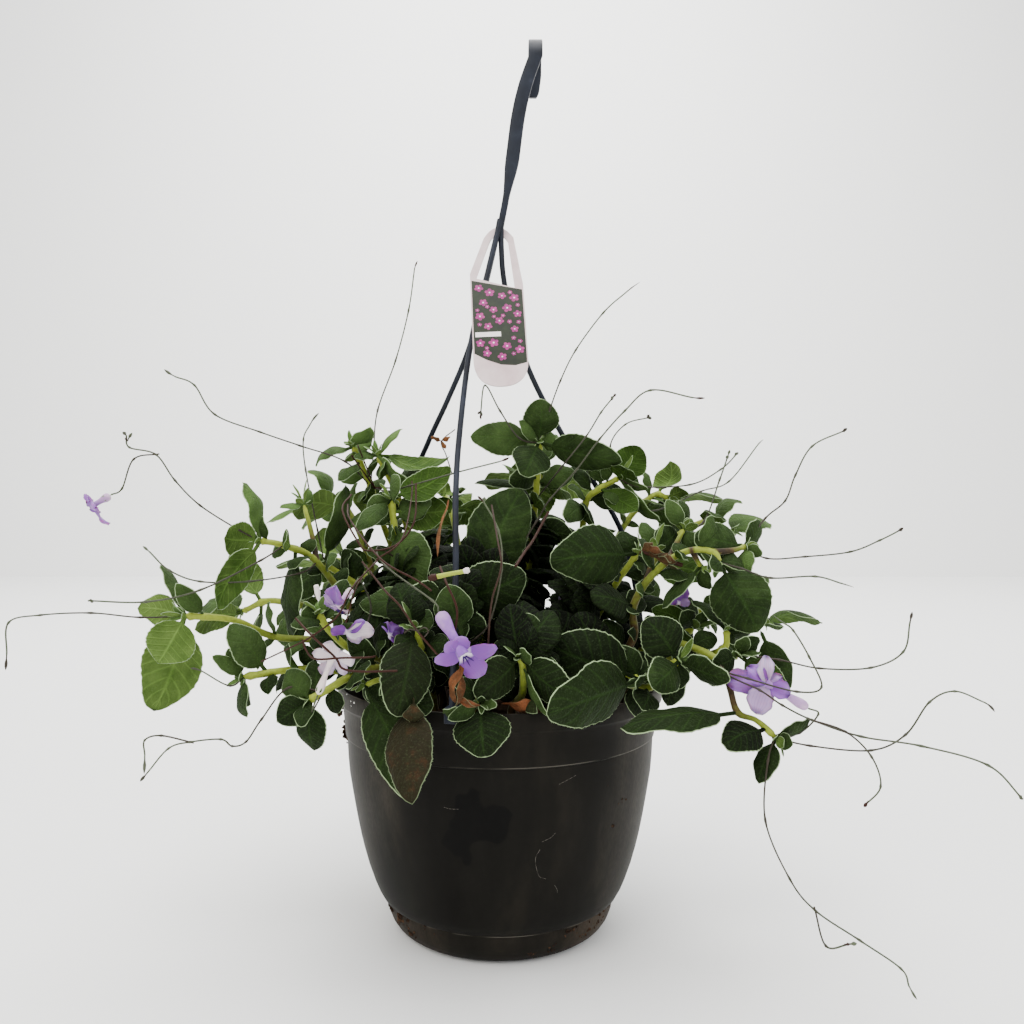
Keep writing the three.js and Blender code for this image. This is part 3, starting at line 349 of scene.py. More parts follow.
            [[154, -112, 148], [147, -122, 138], [145, -124, 106], [157, -128, 76], [170, -130, 60],
             [193, -132, 45], [214, -134, 31], [218, -135, 22]],
            [[170, -130, 60], [175, -132, 42], [187, -134, 44]],
        ],
    },
    "right_back": {
        "root": [84, -14],
        "stems": [[[96, -30, 178], [118, -62, 184], [133, -78, 192], [135, -78, 203]]],
        "leaves": [[0, 3, [118, -72, 221], 16, 60, 3], [0, 3, [150, -78, 199], 14, 65, 3]],
        "stalks": [],
    },
    "right_inner": {
        "root": [72, -16],
        "stems": [[[84, -26, 180], [104, -48, 190], [119, -60, 202]]],
        "leaves": [[0, 2, [94, -56, 214], 15, 160, 2], [0, 2, [110, -70, 213], 13, 10, 2],
                   [0, 2, [112, -46, 222], 18, 20, 2]],
        "stalks": [],
    },
}

# Shoots of the same habit fill the sides and the back: azimuth from the front towards the right, distance of
# the root from the pot's axis, reach of the tip, its height, and the number of leaf pairs
sideShoots = {
    "side_b": [88, 66, 150, 268, 3],
    "side_c": [104, 44, 186, 206, 3],
    "side_d": [124, 68, 140, 286, 3],
    "side_e": [142, 48, 178, 232, 4],
    "side_g": [172, 40, 112, 306, 3],
    "side_h": [187, 62, 176, 240, 4],
    "side_i": [206, 44, 146, 284, 3],
    "side_j": [221, 84, 150, 196, 3],
    "side_k": [236, 66, 184, 236, 3],
    "side_l": [254, 76, 140, 284, 3],
    "side_m": [272, 56, 178, 214, 3],
}

# The shoot and the route of the stalk that carries each flower, the stalk's end, the throat, the way that the
# flower faces, and its petal length
blooms = {
    "bloom_front": {
        "shoot": "left_middle", "route": [[-66, -20, 241], [-76, -48, 251], [-66, -88, 242]],
        "base": [-32, -122, 219], "throat": [-18, -130, 197], "face": [0.15, -0.9, -0.3], "petal": 19,
    },
    "bloom_right": {
        "shoot": "right_low", "route": [[154, -112, 148], [168, -110, 150]],
        "base": [171, -116, 165], "throat": [146, -122, 180], "face": [-0.3, -0.85, 0.35], "petal": 19,
    },
    "bloom_left_low": {
        "shoot": "left_low", "route": [[-99, -102, 171], [-103, -111, 162]],
        "base": [-99, -116, 172], "throat": [-92, -112, 192], "face": [0.1, 0.85, 0.45], "petal": 15,
    },
    "bloom_left_high": {
        "shoot": "left_rosette", "route": [[-86, -82, 192], [-76, -76, 214]],
        "base": [-84, -92, 229], "throat": [-92, -102, 219], "face": [-0.4, -0.5, -0.7], "petal": 14,
    },
    "bloom_far_left": {
        "shoot": "left_upper", "route": [[-203, -78, 307], [-214, -83, 304]],
        "base": [-225, -88, 283], "throat": [-236, -90, 276], "face": [-0.7, -0.3, -0.5], "petal": 13,
    },
}

# Leaflets too small for the solids
leaflets = {
    "left_upper": [[1, 2, [-123, -20, 287], 11, 55, 1], [1, 2, [-140, -38, 276], 10, 60, 1]],
    "crown": [[0, 3, [13, -8, 334], 11, 30, 2]],
    "right_top": [[0, 4, [98, -14, 288], 10, 60, 2], [0, 3.4, [70, -14, 308], 10, 20, 2]],
    "centre_low": [[0, 1, [-28, -80, 228], 10, 20, 1]],
    "front_rosette": [[0, 2, [18, -112, 193], 11, 0, 1], [0, 1, [27, -112, 160], 9, 60, 2]],
    "front_hang": [[0, 1, [-27, -120, 160], 9, 20, 2]],
    "left_low": [[0, 3, [-106, -120, 158], 11, 0, 1]],
    "left_middle_low": [[0, 2, [-167, -80, 189], 9, 30, 1]],
    "left_rosette": [[0, 3, [-97, -90, 225], 8, 0, 1]],
    "left_top": [[0, 2, [-98, 12, 280], 11, 60, 2], [0, 1.6, [-104, 6, 262], 14, 60, 4]],
    "right_arch": [[1, 2, [159, -68, 247], 9, 30, 1], [2, 2, [123, -42, 268], 10, 10, 1],
                   [4, 1, [127, -68, 226], 11, 45, 2]],
    "right_low": [[0, 4, [140, -106, 203], 9, 0, 1], [1, 4, [161, -120, 146], 10, 10, 1]],
    "right_inner": [[0, 2, [128, -60, 214], 10, 30, 1]],
}

# Growing the plant: the same rule as its solids, and then smaller leaves wherever there is room

plantRule = {
    "stemFoot": [112, 140, 156],
    "stemCloud": 2.2,
    "stalkCloud": 0.85,
    "legCloud": 1.9,
    "bloomCloud": 0.5,
    "cloudStep": 4,
    "petioleShare": 0.16,
    "leafGap": 5,
    "ownLeafGap": 3,
    "sampleStep": 5.5,
    "rimRadius": 108,
    "potHeight": 160,
    "soilHeight": 142,
    "front": (0, -1, 0),
    "leafForm": (0.8, 0.62),
    "cup": 0.22,
    "swings": (0, 4, -4, 8, -8, 12, -12, 16, -16, 20, -20, 25, -25, 30),
}
up = np.array([0.0, 0.0, 1.0])


def unit(vector):
    return vector / np.linalg.norm(vector)


# Catmull-Rom through the points, at a place from 0 to 1
def curvePoint(points, place):
    last = len(points) - 1
    at = min(max(place, 0), 1) * last
    i = min(int(at), last - 1)
    w = at - i
    p1, p2 = points[i], points[i + 1]
    p0 = points[i - 1] if i > 0 else 2 * p1 - p2
    p3 = points[i + 2] if i + 2 <= last else 2 * p2 - p1
    t0, t1 = 0.5 * (p2 - p0), 0.5 * (p3 - p1)
    return p1 + t0 * w + (-3 * p1 + 3 * p2 - 2 * t0 - t1) * w ** 2 + (2 * p1 - 2 * p2 + t0 + t1) * w ** 3


def samplesAlong(points, count):
    return np.array([curvePoint(points, i / count) for i in range(count + 1)])


def curveCloud(points):
    fine = samplesAlong(points, 200)
    length = np.linalg.norm(np.diff(fine, axis=0), axis=1).sum()
    return samplesAlong(points, max(2, math.ceil(length / plantRule["cloudStep"])))


# Half width along a blade or a petal. Its form says where it is widest, and how round it is.
def halfWidth(share, form):
    return np.maximum(np.sin(np.pi * share ** form[0]), 0) ** form[1]


def atAzimuth(angle, radius, z):
    return np.array([radius * math.sin(angle), -radius * math.cos(angle), z])


# What stands already: each cloud of points with its owner, its thickness and its box
standing = []


def addCloud(owner, points, radius):
    standing.append((owner, points, radius, points.min(axis=0), points.max(axis=0)))


sideRule = {"seed": (7919, 131), "sway": 14, "bendAt": 0.42, "lastAt": 0.8, "lowestBend": 178, "foot": 158,
            "bendShare": 0.72, "lengths": (34, 52), "widths": (0.6, 0.76), "turns": (-25, 25),
            "arches": (3, 7), "firstAhead": (0.5, 0.9), "ahead": (0.1, 0.5), "rise": (-0.35, 0.12)}


def sideShoot(index, values):
    azimuth, rootRadius, reach, height, pairs = values
    draw = makeDraw(sideRule["seed"][0] + index * sideRule["seed"][1])
    angle = math.radians(azimuth)
    out = np.array([math.sin(angle), -math.cos(angle), 0])
    aside = np.cross(up, out)

    def place(radius, side, z):
        return out * radius + aside * side + up * z
    sway = draw(-sideRule["sway"], sideRule["sway"])
    middle = rootRadius + (reach - rootRadius) * sideRule["bendAt"]
    bend = max(sideRule["lowestBend"], sideRule["foot"] + (height - sideRule["foot"]) * sideRule["bendShare"])
    last = rootRadius + (reach - rootRadius) * sideRule["lastAt"]
    stem = [place(middle, sway * 0.4, bend), place(last, sway, height - 2)]
    stem.append(place(reach, sway * 1.5, height - draw(2, 10)))
    heading = unit(stem[2] - stem[1])
    leaves = []
    for pair in range(pairs):
        at = 2 - pair * 1.9 / pairs
        node = stem[1] + (stem[2] - stem[1]) * (at - 1) if at >= 1 else stem[0] + (stem[1] - stem[0]) * at
        across = aside if pair % 2 == 0 else unit(np.cross(heading, aside))
        for side in (-1, 1):
            length = draw(*sideRule["lengths"])
            ahead = draw(*sideRule["firstAhead" if pair == 0 else "ahead"])
            end = node + across * side * length * 0.8 + out * ahead * length
            end = end + up * draw(*sideRule["rise"]) * length
            leaves.append([0, at, end, length * draw(*sideRule["widths"]), draw(*sideRule["turns"]),
                           draw(*sideRule["arches"])])
    return {"root": place(rootRadius, 0, 0)[:2], "stems": [stem], "leaves": leaves, "stalks": [],
            "facing": unit(out * 0.55 + up * 0.8)}


def bloomFrame(bloom):
    base, throat = np.array(bloom["base"], float), np.array(bloom["throat"], float)
    face = unit(np.array(bloom["face"], float))
    upward = unit(up - face * up.dot(face))
    return base, throat, unit(throat - base), face, upward, np.cross(upward, face)


def bloomCloud(bloom):
    base, throat = bloomFrame(bloom)[:2]
    face, upward, aside = bloomFrame(bloom)[3:]
    points = [base + (throat - base) * share for share in (0.1, 0.4, 0.7, 1)]
    for angle in range(0, 360, 24):
        along = upward * math.cos(math.radians(angle)) + aside * math.sin(math.radians(angle))
        points += [throat + (along - 0.1 * face) * share * bloom["petal"] for share in (0.35, 0.7, 1)]
    return np.array(points)


def leafFrame(root, tip, width, turn, arch, facing):
    along = tip - root
    length = np.linalg.norm(along)
    along = along / length
    across = np.cross(along, facing)
    if np.linalg.norm(across) < 0.05:
        across = np.array([1.0, 0, 0])
    across = unit(across)
    angle = math.radians(turn)
    across = across * math.cos(angle) + np.cross(along, across) * math.sin(angle)
    return {"root": root, "along": along, "across": across, "out": np.cross(across, along), "length": length,
            "width": width, "arch": arch, "turn": turn}


# Points of the blade: share runs from the petiole to the tip, side from -1 to 1 across it
def bladePoints(leaf, share, side):
    share, side = np.asarray(share, float)[..., None], np.asarray(side, float)[..., None]
    petiole = leaf["length"] * plantRule["petioleShare"]
    inside = np.clip(share, 0, 1)
    half = leaf["width"] / 2 * halfWidth(inside, plantRule["leafForm"])
    height = leaf["arch"] * 4 * share * (1 - share) - plantRule["cup"] * half * side * side
    distance = petiole + (leaf["length"] - petiole) * share
    return leaf["root"] + leaf["along"] * distance + leaf["across"] * half * side + leaf["out"] * height


def bladeSamples(leaf):
    rows = max(3, math.ceil(leaf["length"] / plantRule["sampleStep"]))
    columns = max(1, math.ceil(leaf["width"] / 2 / plantRule["sampleStep"]))
    places = [(row / rows, column / columns) for row in range(1, rows + 1)
              for column in range(-columns, columns + 1) if row < rows or column == 0]
    return bladePoints(leaf, [share for share, side in places], [side for share, side in places])


def isClear(owner, points, gap, ownGap):
    radius = np.hypot(points[:, 0], points[:, 1])
    nearPot = (points[:, 2] <= plantRule["potHeight"] + 5) & (radius <= plantRule["rimRadius"] + 2)
    inPot = (radius > plantRule["rimRadius"] - 9) | (points[:, 2] < plantRule["soilHeight"] + 6)
    if (nearPot & inPot).any():
        return False
    low, high = points.min(axis=0) - gap, points.max(axis=0) + gap
    for other, cloud, thickness, cloudLow, cloudHigh in standing:
        isOwn = other == owner
        if (isOwn and thickness > 0) or (low > cloudHigh).any() or (high < cloudLow).any():
            continue
        reach = (ownGap if isOwn else gap) + thickness
        if (((points[:, None] - cloud[None]) ** 2).sum(axis=2) < reach * reach).any():
            return False
    return True


# The tip swings towards and away from the way that the leaf faces until the blade is clear
def growLeaf(owner, root, tip, width, turn, arch, facing, gaps=None, swings=None):
    facing = np.array(facing, float)
    gap, ownGap = gaps or (plantRule["leafGap"], plantRule["ownLeafGap"])
    for swing in swings or plantRule["swings"]:
        leaf = leafFrame(root, tip + facing * swing, width, turn, arch, facing)
        points = bladeSamples(leaf)
        if isClear(owner, points, gap, ownGap):
            addCloud(owner, points, 0)
            return leaf
    return None


for index, (name, values) in enumerate(sideShoots.items()):
    shoots[name] = sideShoot(index, values)
for bloom in blooms.values():
    base, throat, tubeWay = bloomFrame(bloom)[:3]
    shoots[bloom["shoot"]]["stalks"].append([*bloom["route"], base - tubeWay * 7, base])

hangerRoutes = {
    "front": [[-8, -8, 435], [-19, -25, 382], [-25, -50, 320], [-26, -70, 280], [-25, -85, 239]],
    "leftBack": [[-9, 1, 432], [-21, 6, 387], [-37, 20, 352], [-52, 33, 323], [-62, 46, 298], [-73, 64, 230]],
    "right": [[3, 1, 427], [18, 5, 374], [43, 12, 326], [63, 18, 297], [86, 24, 257], [97, 27, 210]],
}
legAzimuths = {"front": -14, "leftBack": -134, "right": 106}


def legPoints(name):
    angle, height = math.radians(legAzimuths[name]), plantRule["potHeight"] + 2.4
    foot = atAzimuth(angle, plantRule["rimRadius"] - 1.1, height)
    return np.array([[0, 0, 471], *hangerRoutes[name], foot], float)


curves = {}
for name, shoot in shoots.items():
    foot = [[shoot["root"][0], shoot["root"][1], z] for z in plantRule["stemFoot"]]
    stems = [np.array([*foot, *points] if i == 0 else points, float)
             for i, points in enumerate(shoot["stems"])]
    stalks = [np.array(points, float) for points in shoot["stalks"]]
    for stalk in stalks:
        stalk[0] += 2 * unit(stalk[0] - stalk[1])
    curves[name] = {"stems": stems, "stalks": stalks}
    for stem in stems:
        addCloud(name, curveCloud(stem), plantRule["stemCloud"])
    for stalk in stalks:
        addCloud(name, curveCloud(stalk), plantRule["stalkCloud"])
for name in hangerRoutes:
    addCloud("hanger", curveCloud(legPoints(name)), plantRule["legCloud"])
for name, bloom in blooms.items():
    addCloud(name, bloomCloud(bloom), plantRule["bloomCloud"])


def stemPlace(name, stemIndex, at):
    stem = curves[name]["stems"][stemIndex]
    offset = len(plantRule["stemFoot"]) if stemIndex == 0 else 0
    return curvePoint(stem, (at + offset) / (len(stem) - 1))


grown = {name: [] for name in shoots}
for name, shoot in shoots.items():
    for stemIndex, at, tip, width, turn, arch in shoot["leaves"]:
        facing = shoot.get("facing", plantRule["front"])
        leaf = growLeaf(name, stemPlace(name, stemIndex, at), np.array(tip, float), width, turn, arch, facing)
        if leaf:
            grown[name].append(leaf)
print("leaves of the solids:", sum(len(leaves) for leaves in grown.values()))


# Smaller leaves that only the looks have: the leaflets of the table, a rosette on each stem's tip, leaves
# along the stems inside the mound, and short ones in its heart
fillRule = {"gaps": (1.6, 1.1), "swings": (0, 5, -5, 10, -10), "widths": (0.6, 0.82), "leafletShade": 0.15}
rosetteRule = {"lengths": (7.5, 11), "shrink": 1.6, "width": 0.62, "turn": 30, "arch": 0.8, "shade": 0.3}
moundRule = {"lowest": 166, "spacing": 13, "radius": 160, "lengths": (17, 33), "fullTo": 95,
             "outerShare": 0.78, "turn": 25, "arch": 3}
heartRule = {"tries": 1500, "radius": 98, "bottom": 164, "top": 292, "slope": 0.7, "reach": (12, 38),
             "turn": 30, "arch": 2.5, "shade": -0.22}
extra = {name: [] for name in shoots}
# Old leaves of the front: the middle of each in x and z, and how far it has dried
wornLeaves = [(-46, 143, 0.55), (-40, 192, 0.18), (-16, 176, 0.12)]
frontLeaves = [leaf for leaves in grown.values() for leaf in leaves if leaf["root"][1] < -60]
for x, z, dryness in wornLeaves:
    nearest = min(frontLeaves, key=lambda leaf: math.dist(bladePoints(leaf, 0.5, 0.0)[[0, 2]], (x, z)))
    nearest["dry"] = dryness


def addExtra(name, root, tip, width, turn, arch, facing, shade):
    leaf = growLeaf(name, root, tip, width, turn, arch, facing, fillRule["gaps"], fillRule["swings"])
    if leaf:
        leaf["shade"] = shade
        extra[name].append(leaf)


for name, rows in leaflets.items():
    for stemIndex, at, tip, width, turn, arch in rows:
        root = stemPlace(name, stemIndex, at)
        addExtra(name, root, np.array(tip, float), width, turn, arch, plantRule["front"],
                 fillRule["leafletShade"])
fillDraw = makeDraw(4211)
for name, curve in curves.items():
    for stem in curve["stems"]:
        heading = unit(stem[-1] - stem[-2])
        aside = unit(np.cross(heading, up + 0.01))
        over = np.cross(aside, heading)
        for pair, across in enumerate((aside, over, aside * 0.7 + over * 0.7)):
            for side in (-1, 1):
                length = fillDraw(*rosetteRule["lengths"]) - pair * rosetteRule["shrink"]
                tip = stem[-1] + across * side * length * 0.8 + heading * length * (0.45 + 0.25 * pair)
                turn = fillDraw(-rosetteRule["turn"], rosetteRule["turn"])
                addExtra(name, stem[-1], tip, length * rosetteRule["width"], turn, rosetteRule["arch"],
                         unit(heading + up * 0.5), rosetteRule["shade"])
for name, curve in curves.items():
    stem = curve["stems"][0]
    samples = samplesAlong(stem, 60)
    travelled, turnAngle = 0, fillDraw(0, 6.28)
    for before, point in zip(samples, samples[1:]):
        travelled += np.linalg.norm(point - before)
        if point[2] < moundRule["lowest"] or travelled < moundRule["spacing"]:
            continue
        travelled = 0
        turnAngle += 1.57 + fillDraw(-0.4, 0.4)
        heading = unit(point - before)
        aside = unit(np.cross(heading, up + 0.01))
        over = np.cross(aside, heading)
        outward = unit(np.array([point[0], point[1] - 20, 0]) + 0.01)
        for side in (0, math.pi):
            across = aside * math.cos(turnAngle + side) + over * math.sin(turnAngle + side)
            isInside = math.hypot(point[0], point[1]) < moundRule["fullTo"]
            length = fillDraw(*moundRule["lengths"]) * (1 if isInside else moundRule["outerShare"])
            tip = point + across * length * 0.85 + heading * length * 0.35
            if math.hypot(tip[0], tip[1]) > moundRule["radius"]:
                continue
            facing = unit(outward * 0.5 + up * 0.5 + np.array(plantRule["front"]) * 0.3)
            width = length * fillDraw(*fillRule["widths"])
            turn = fillDraw(-moundRule["turn"], moundRule["turn"])
            addExtra(name, point, tip, width, turn, moundRule["arch"], facing, 0)
# Short leaves on the stems' lower parts close the heart of the mound
stemPoints = [(name, point) for name, curve in curves.items() for point in samplesAlong(curve["stems"][0], 80)
              if point[2] > 158]
stemCloud = np.array([point for name, point in stemPoints])
for i in range(heartRule["tries"]):
    angle, radius = fillDraw(0, 6.283), heartRule["radius"] * math.sqrt(fillDraw(0, 1))
    height = fillDraw(heartRule["bottom"], heartRule["top"] - radius * heartRule["slope"])
    tip = np.array([radius * math.sin(angle), radius * math.cos(angle), height])
    distances = np.linalg.norm(stemCloud - tip + np.array([0, 0, 6]), axis=1)
    nearest = int(distances.argmin())
    if heartRule["reach"][0] < distances[nearest] < heartRule["reach"][1]:
        name, point = stemPoints[nearest]
        outward = unit(np.array([tip[0], tip[1], 0]) + 0.01)
        facing = unit(outward * 0.7 + up * fillDraw(0.1, 0.9) + np.array(plantRule["front"]) * 0.4)
        width = np.linalg.norm(tip - point) * fillDraw(*fillRule["widths"])
        turn = fillDraw(-heartRule["turn"], heartRule["turn"])
        # Leaves in the heart are painted darker: painted shade of the mound's heart
        addExtra(name, point, tip, width, turn, heartRule["arch"], facing, heartRule["shade"])
print("leaves that only the looks have:", sum(len(leaves) for leaves in extra.values()))

# Materials

leafLook = {
    "topColours": [(0.0, "#070b04"), (0.42, "#17240c"), (0.75, "#374a24"), (1.0, "#4f6934")],
    "underColours": [(0.0, "#17270a"), (0.5, "#3a541d"), (1.0, "#78944a")],
    "dryColours": [(0.0, "#15160b"), (0.5, "#221c12"), (0.75, "#452819"), (1.0, "#74432a")],
    "veinColour": "#42682a",
    "marginColour": "#9db287",
    "marginWidth": 0.28,
    "feltSize": 1.0 * mm,
    "netSize": 2.4 * mm,
    "mottleSize": 11.11 * mm,
    "dryPatchSize": 7.69 * mm,
    "sideVeins": 7,
    "veinLean": 1.7,
}


def makeFeltedLeaf():
    # Living leaf, fleshy and felted with short hairs: matt and softly lit, veins sunk above and raised below
    material = newMaterial("feltedLeaf")
    blade = addNode(material, "UVMap", uv_map="blade")
    place = addNode(material, "SeparateXYZ", {0: blade})
    tone = addNode(material, "Attribute", attribute_name="tone")
    parts = addNode(material, "SeparateColor", {0: tone.outputs["Color"]})
    brightAndPaintedLight, under, dry = parts.outputs[0], parts.outputs[1], parts.outputs[2]
    centred = addNode(material, "Math", {0: place.outputs[1], 1: 2.0, 2: -1.0}, operation="MULTIPLY_ADD")
    side = addNode(material, "Math", {0: centred}, operation="ABSOLUTE")
    lean = addNode(material, "Math", {0: side, 1: leafLook["veinLean"]}, operation="MULTIPLY")
    row = addNode(material, "Math", {0: place.outputs[0], 1: leafLook["sideVeins"]}, operation="MULTIPLY")
    path = addNode(material, "Math", {0: row, 1: lean}, operation="SUBTRACT")
    fold = addNode(material, "Math", {0: path, 1: 0.5}, operation="PINGPONG")
    sideVein = addNode(material, "MapRange", {0: fold, 1: 0.0, 2: 0.16, 3: 0.7, 4: 0.0})
    midrib = addNode(material, "MapRange", {0: side, 1: 0.0, 2: 0.1, 3: 1.0, 4: 0.0})
    veins = addNode(material, "Math", {0: sideVein, 1: midrib}, operation="MAXIMUM")
    where = addNode(material, "TexCoord").outputs["Object"]
    felt = addNode(material, "TexNoise", {"Vector": where, "Scale": 1 / leafLook["feltSize"], "Detail": 2.0})
    mottle = addNode(material, "TexNoise", {"Vector": where, "Scale": 1 / leafLook["mottleSize"],
                                            "Detail": 3.0})
    shift = addNode(material, "Math", {0: mottle, 1: 0.5, 2: -0.25}, operation="MULTIPLY_ADD")
    # The tone's first channel is each leaf's lightness, which holds painted light and painted shade besides
    # the leaf's own tone
    lit = addNode(material, "Math", {0: brightAndPaintedLight, 1: shift}, operation="ADD")
    top = addNode(material, "ValToRGB", {0: lit}, stops=leafLook["topColours"])
    below = addNode(material, "ValToRGB", {0: lit}, stops=leafLook["underColours"])
    veinShare = addNode(material, "Math", {0: veins, 1: 0.12}, operation="MULTIPLY")
    veined = addNode(material, "Mix", {0: veinShare, 6: top, 7: toLinear(leafLook["veinColour"])},
                     data_type="RGBA")
    valley = addNode(material, "Math", {0: veins, 1: 0.5, 2: 0.68}, operation="MULTIPLY_ADD")
    striped = addNode(material, "VectorMath", {0: below, 3: valley}, operation="SCALE")
    faced = addNode(material, "Mix", {0: under, 6: veined.outputs[2], 7: striped}, data_type="RGBA")
    dryShare = addNode(material, "MapRange", {0: dry, 1: 0.0, 2: 0.6, 3: 0.0, 4: 0.92})
    dryPatch = addNode(material, "TexNoise", {"Vector": where, "Scale": 1 / leafLook["dryPatchSize"],
                                              "Detail": 4.0, "Roughness": 0.6})
    dryPlace = addNode(material, "Math", {0: dryPatch, 1: 0.8, 2: -0.5}, operation="MULTIPLY_ADD")
    drySum = addNode(material, "Math", {0: dry, 1: dryPlace}, operation="ADD")
    dryTint = addNode(material, "ValToRGB", {0: drySum}, stops=leafLook["dryColours"])
    dried = addNode(material, "Mix", {0: dryShare, 6: faced.outputs[2], 7: dryTint}, data_type="RGBA")
    inward = addNode(material, "Attribute", attribute_name="inward")
    # Pale specks: the hairs' own pale colour, with painted glints on them
    glintSpecks = addNode(material, "MapRange", {0: felt, 1: 0.55, 2: 0.75, 3: 0.0, 4: 0.04})
    hairsAndGlints = addNode(material, "Mix", {0: glintSpecks, 6: dried.outputs[2], 7: toLinear(leafLook["marginColour"])},
                     data_type="RGBA")
    net = addNode(material, "TexVoronoi", {"Vector": where, "Scale": 1 / leafLook["netSize"]},
                  feature="DISTANCE_TO_EDGE")
    quilt = addNode(material, "MapRange", {0: net, 1: 0.0, 2: 0.25, 3: 0.0, 4: 0.6})
    # The pale margin: the pale hairs along the edge, with a painted glow of the light that they catch
    paleness = addNode(material, "Math", {0: dry, 1: -0.8, 2: 0.85}, operation="MULTIPLY_ADD")
    margin = addNode(material, "MapRange", {0: inward.outputs["Fac"], 1: 0.25,
                                            2: leafLook["marginWidth"] + 0.25, 3: paleness, 4: 0.0})
    colour = addNode(material, "Mix", {0: margin, 6: hairsAndGlints.outputs[2],
                                       7: toLinear(leafLook["marginColour"])}, data_type="RGBA")
    relief = addNode(material, "Math", {0: under, 1: 3.5, 2: -1.0}, operation="MULTIPLY_ADD")
    veinHeight = addNode(material, "Math", {0: relief, 1: veins}, operation="MULTIPLY")
    quilted = addNode(material, "Math", {0: quilt, 1: veinHeight}, operation="ADD")
    height = addNode(material, "Math", {0: felt, 1: 0.3, 2: quilted}, operation="MULTIPLY_ADD")
    bump = addNode(material, "Bump", {"Strength": 0.6, "Distance": 0.5 * mm, "Height": height})
    shader = addNode(material, "BsdfPrincipled", {"Base Color": colour.outputs[2], "Roughness": 0.72,
                                                  "IOR": 1.42, "Specular IOR Level": 0.08,
                                                  "Sheen Weight": 0.025, "Sheen Roughness": 0.4,
                                                  "Sheen Tint": toLinear("#b9cba0"), "Normal": bump})
    addNode(material, "OutputMaterial", {0: shader})
    return material


def makeSimpleGrowth(name, stops, size, roughness, sheen, tint, bumpDistance):
    # Plant tissue whose colour runs along its "tone" attribute, mottled at one grain size
    material = newMaterial(name)
    tone = addNode(material, "Attribute", attribute_name="tone")
    parts = addNode(material, "SeparateColor", {0: tone.outputs["Color"]})
    where = addNode(material, "TexCoord").outputs["Object"]
    grain = addNode(material, "TexNoise", {"Vector": where, "Scale": 1 / size, "Detail": 3.0})
    shift = addNode(material, "Math", {0: grain, 1: 0.5, 2: -0.25}, operation="MULTIPLY_ADD")
    place = addNode(material, "Math", {0: parts.outputs[0], 1: shift}, operation="ADD")
    ramp = addNode(material, "ValToRGB", {0: place}, stops=stops)
    bump = addNode(material, "Bump", {"Strength": 0.6, "Distance": bumpDistance, "Height": grain})
    shader = addNode(material, "BsdfPrincipled", {"Base Color": ramp, "Roughness": roughness, "IOR": 1.45,
                                                  "Specular IOR Level": 0.2, "Sheen Weight": sheen,
                                                  "Sheen Roughness": 0.4, "Sheen Tint": toLinear(tint),
                                                  "Normal": bump})
    addNode(material, "OutputMaterial", {0: shader})
    return material


def makeMoulded(name, stops, size, roughness, bumpDistance):
    # Clean moulded polypropylene, a little waxy, with a faint cloudiness and a fine grain
    material = newMaterial(name)
    where = addNode(material, "TexCoord").outputs["Object"]
    cloud = addNode(material, "TexNoise", {"Vector": where, "Scale": 1 / size, "Detail": 5.0,
                                           "Roughness": 0.6})
    ramp = addNode(material, "ValToRGB", {0: cloud}, stops=stops)
    grain = addNode(material, "TexNoise", {"Vector": where, "Scale": 1 / (0.8 * mm), "Detail": 2.0})
    bump = addNode(material, "Bump", {"Strength": 0.5, "Distance": bumpDistance, "Height": grain})
    shader = addNode(material, "BsdfPrincipled", {"Base Color": ramp, "Roughness": roughness, "IOR": 1.49,
                                                  "Specular IOR Level": 0.18, "Normal": bump})
    addNode(material, "OutputMaterial", {0: shader})
    return material


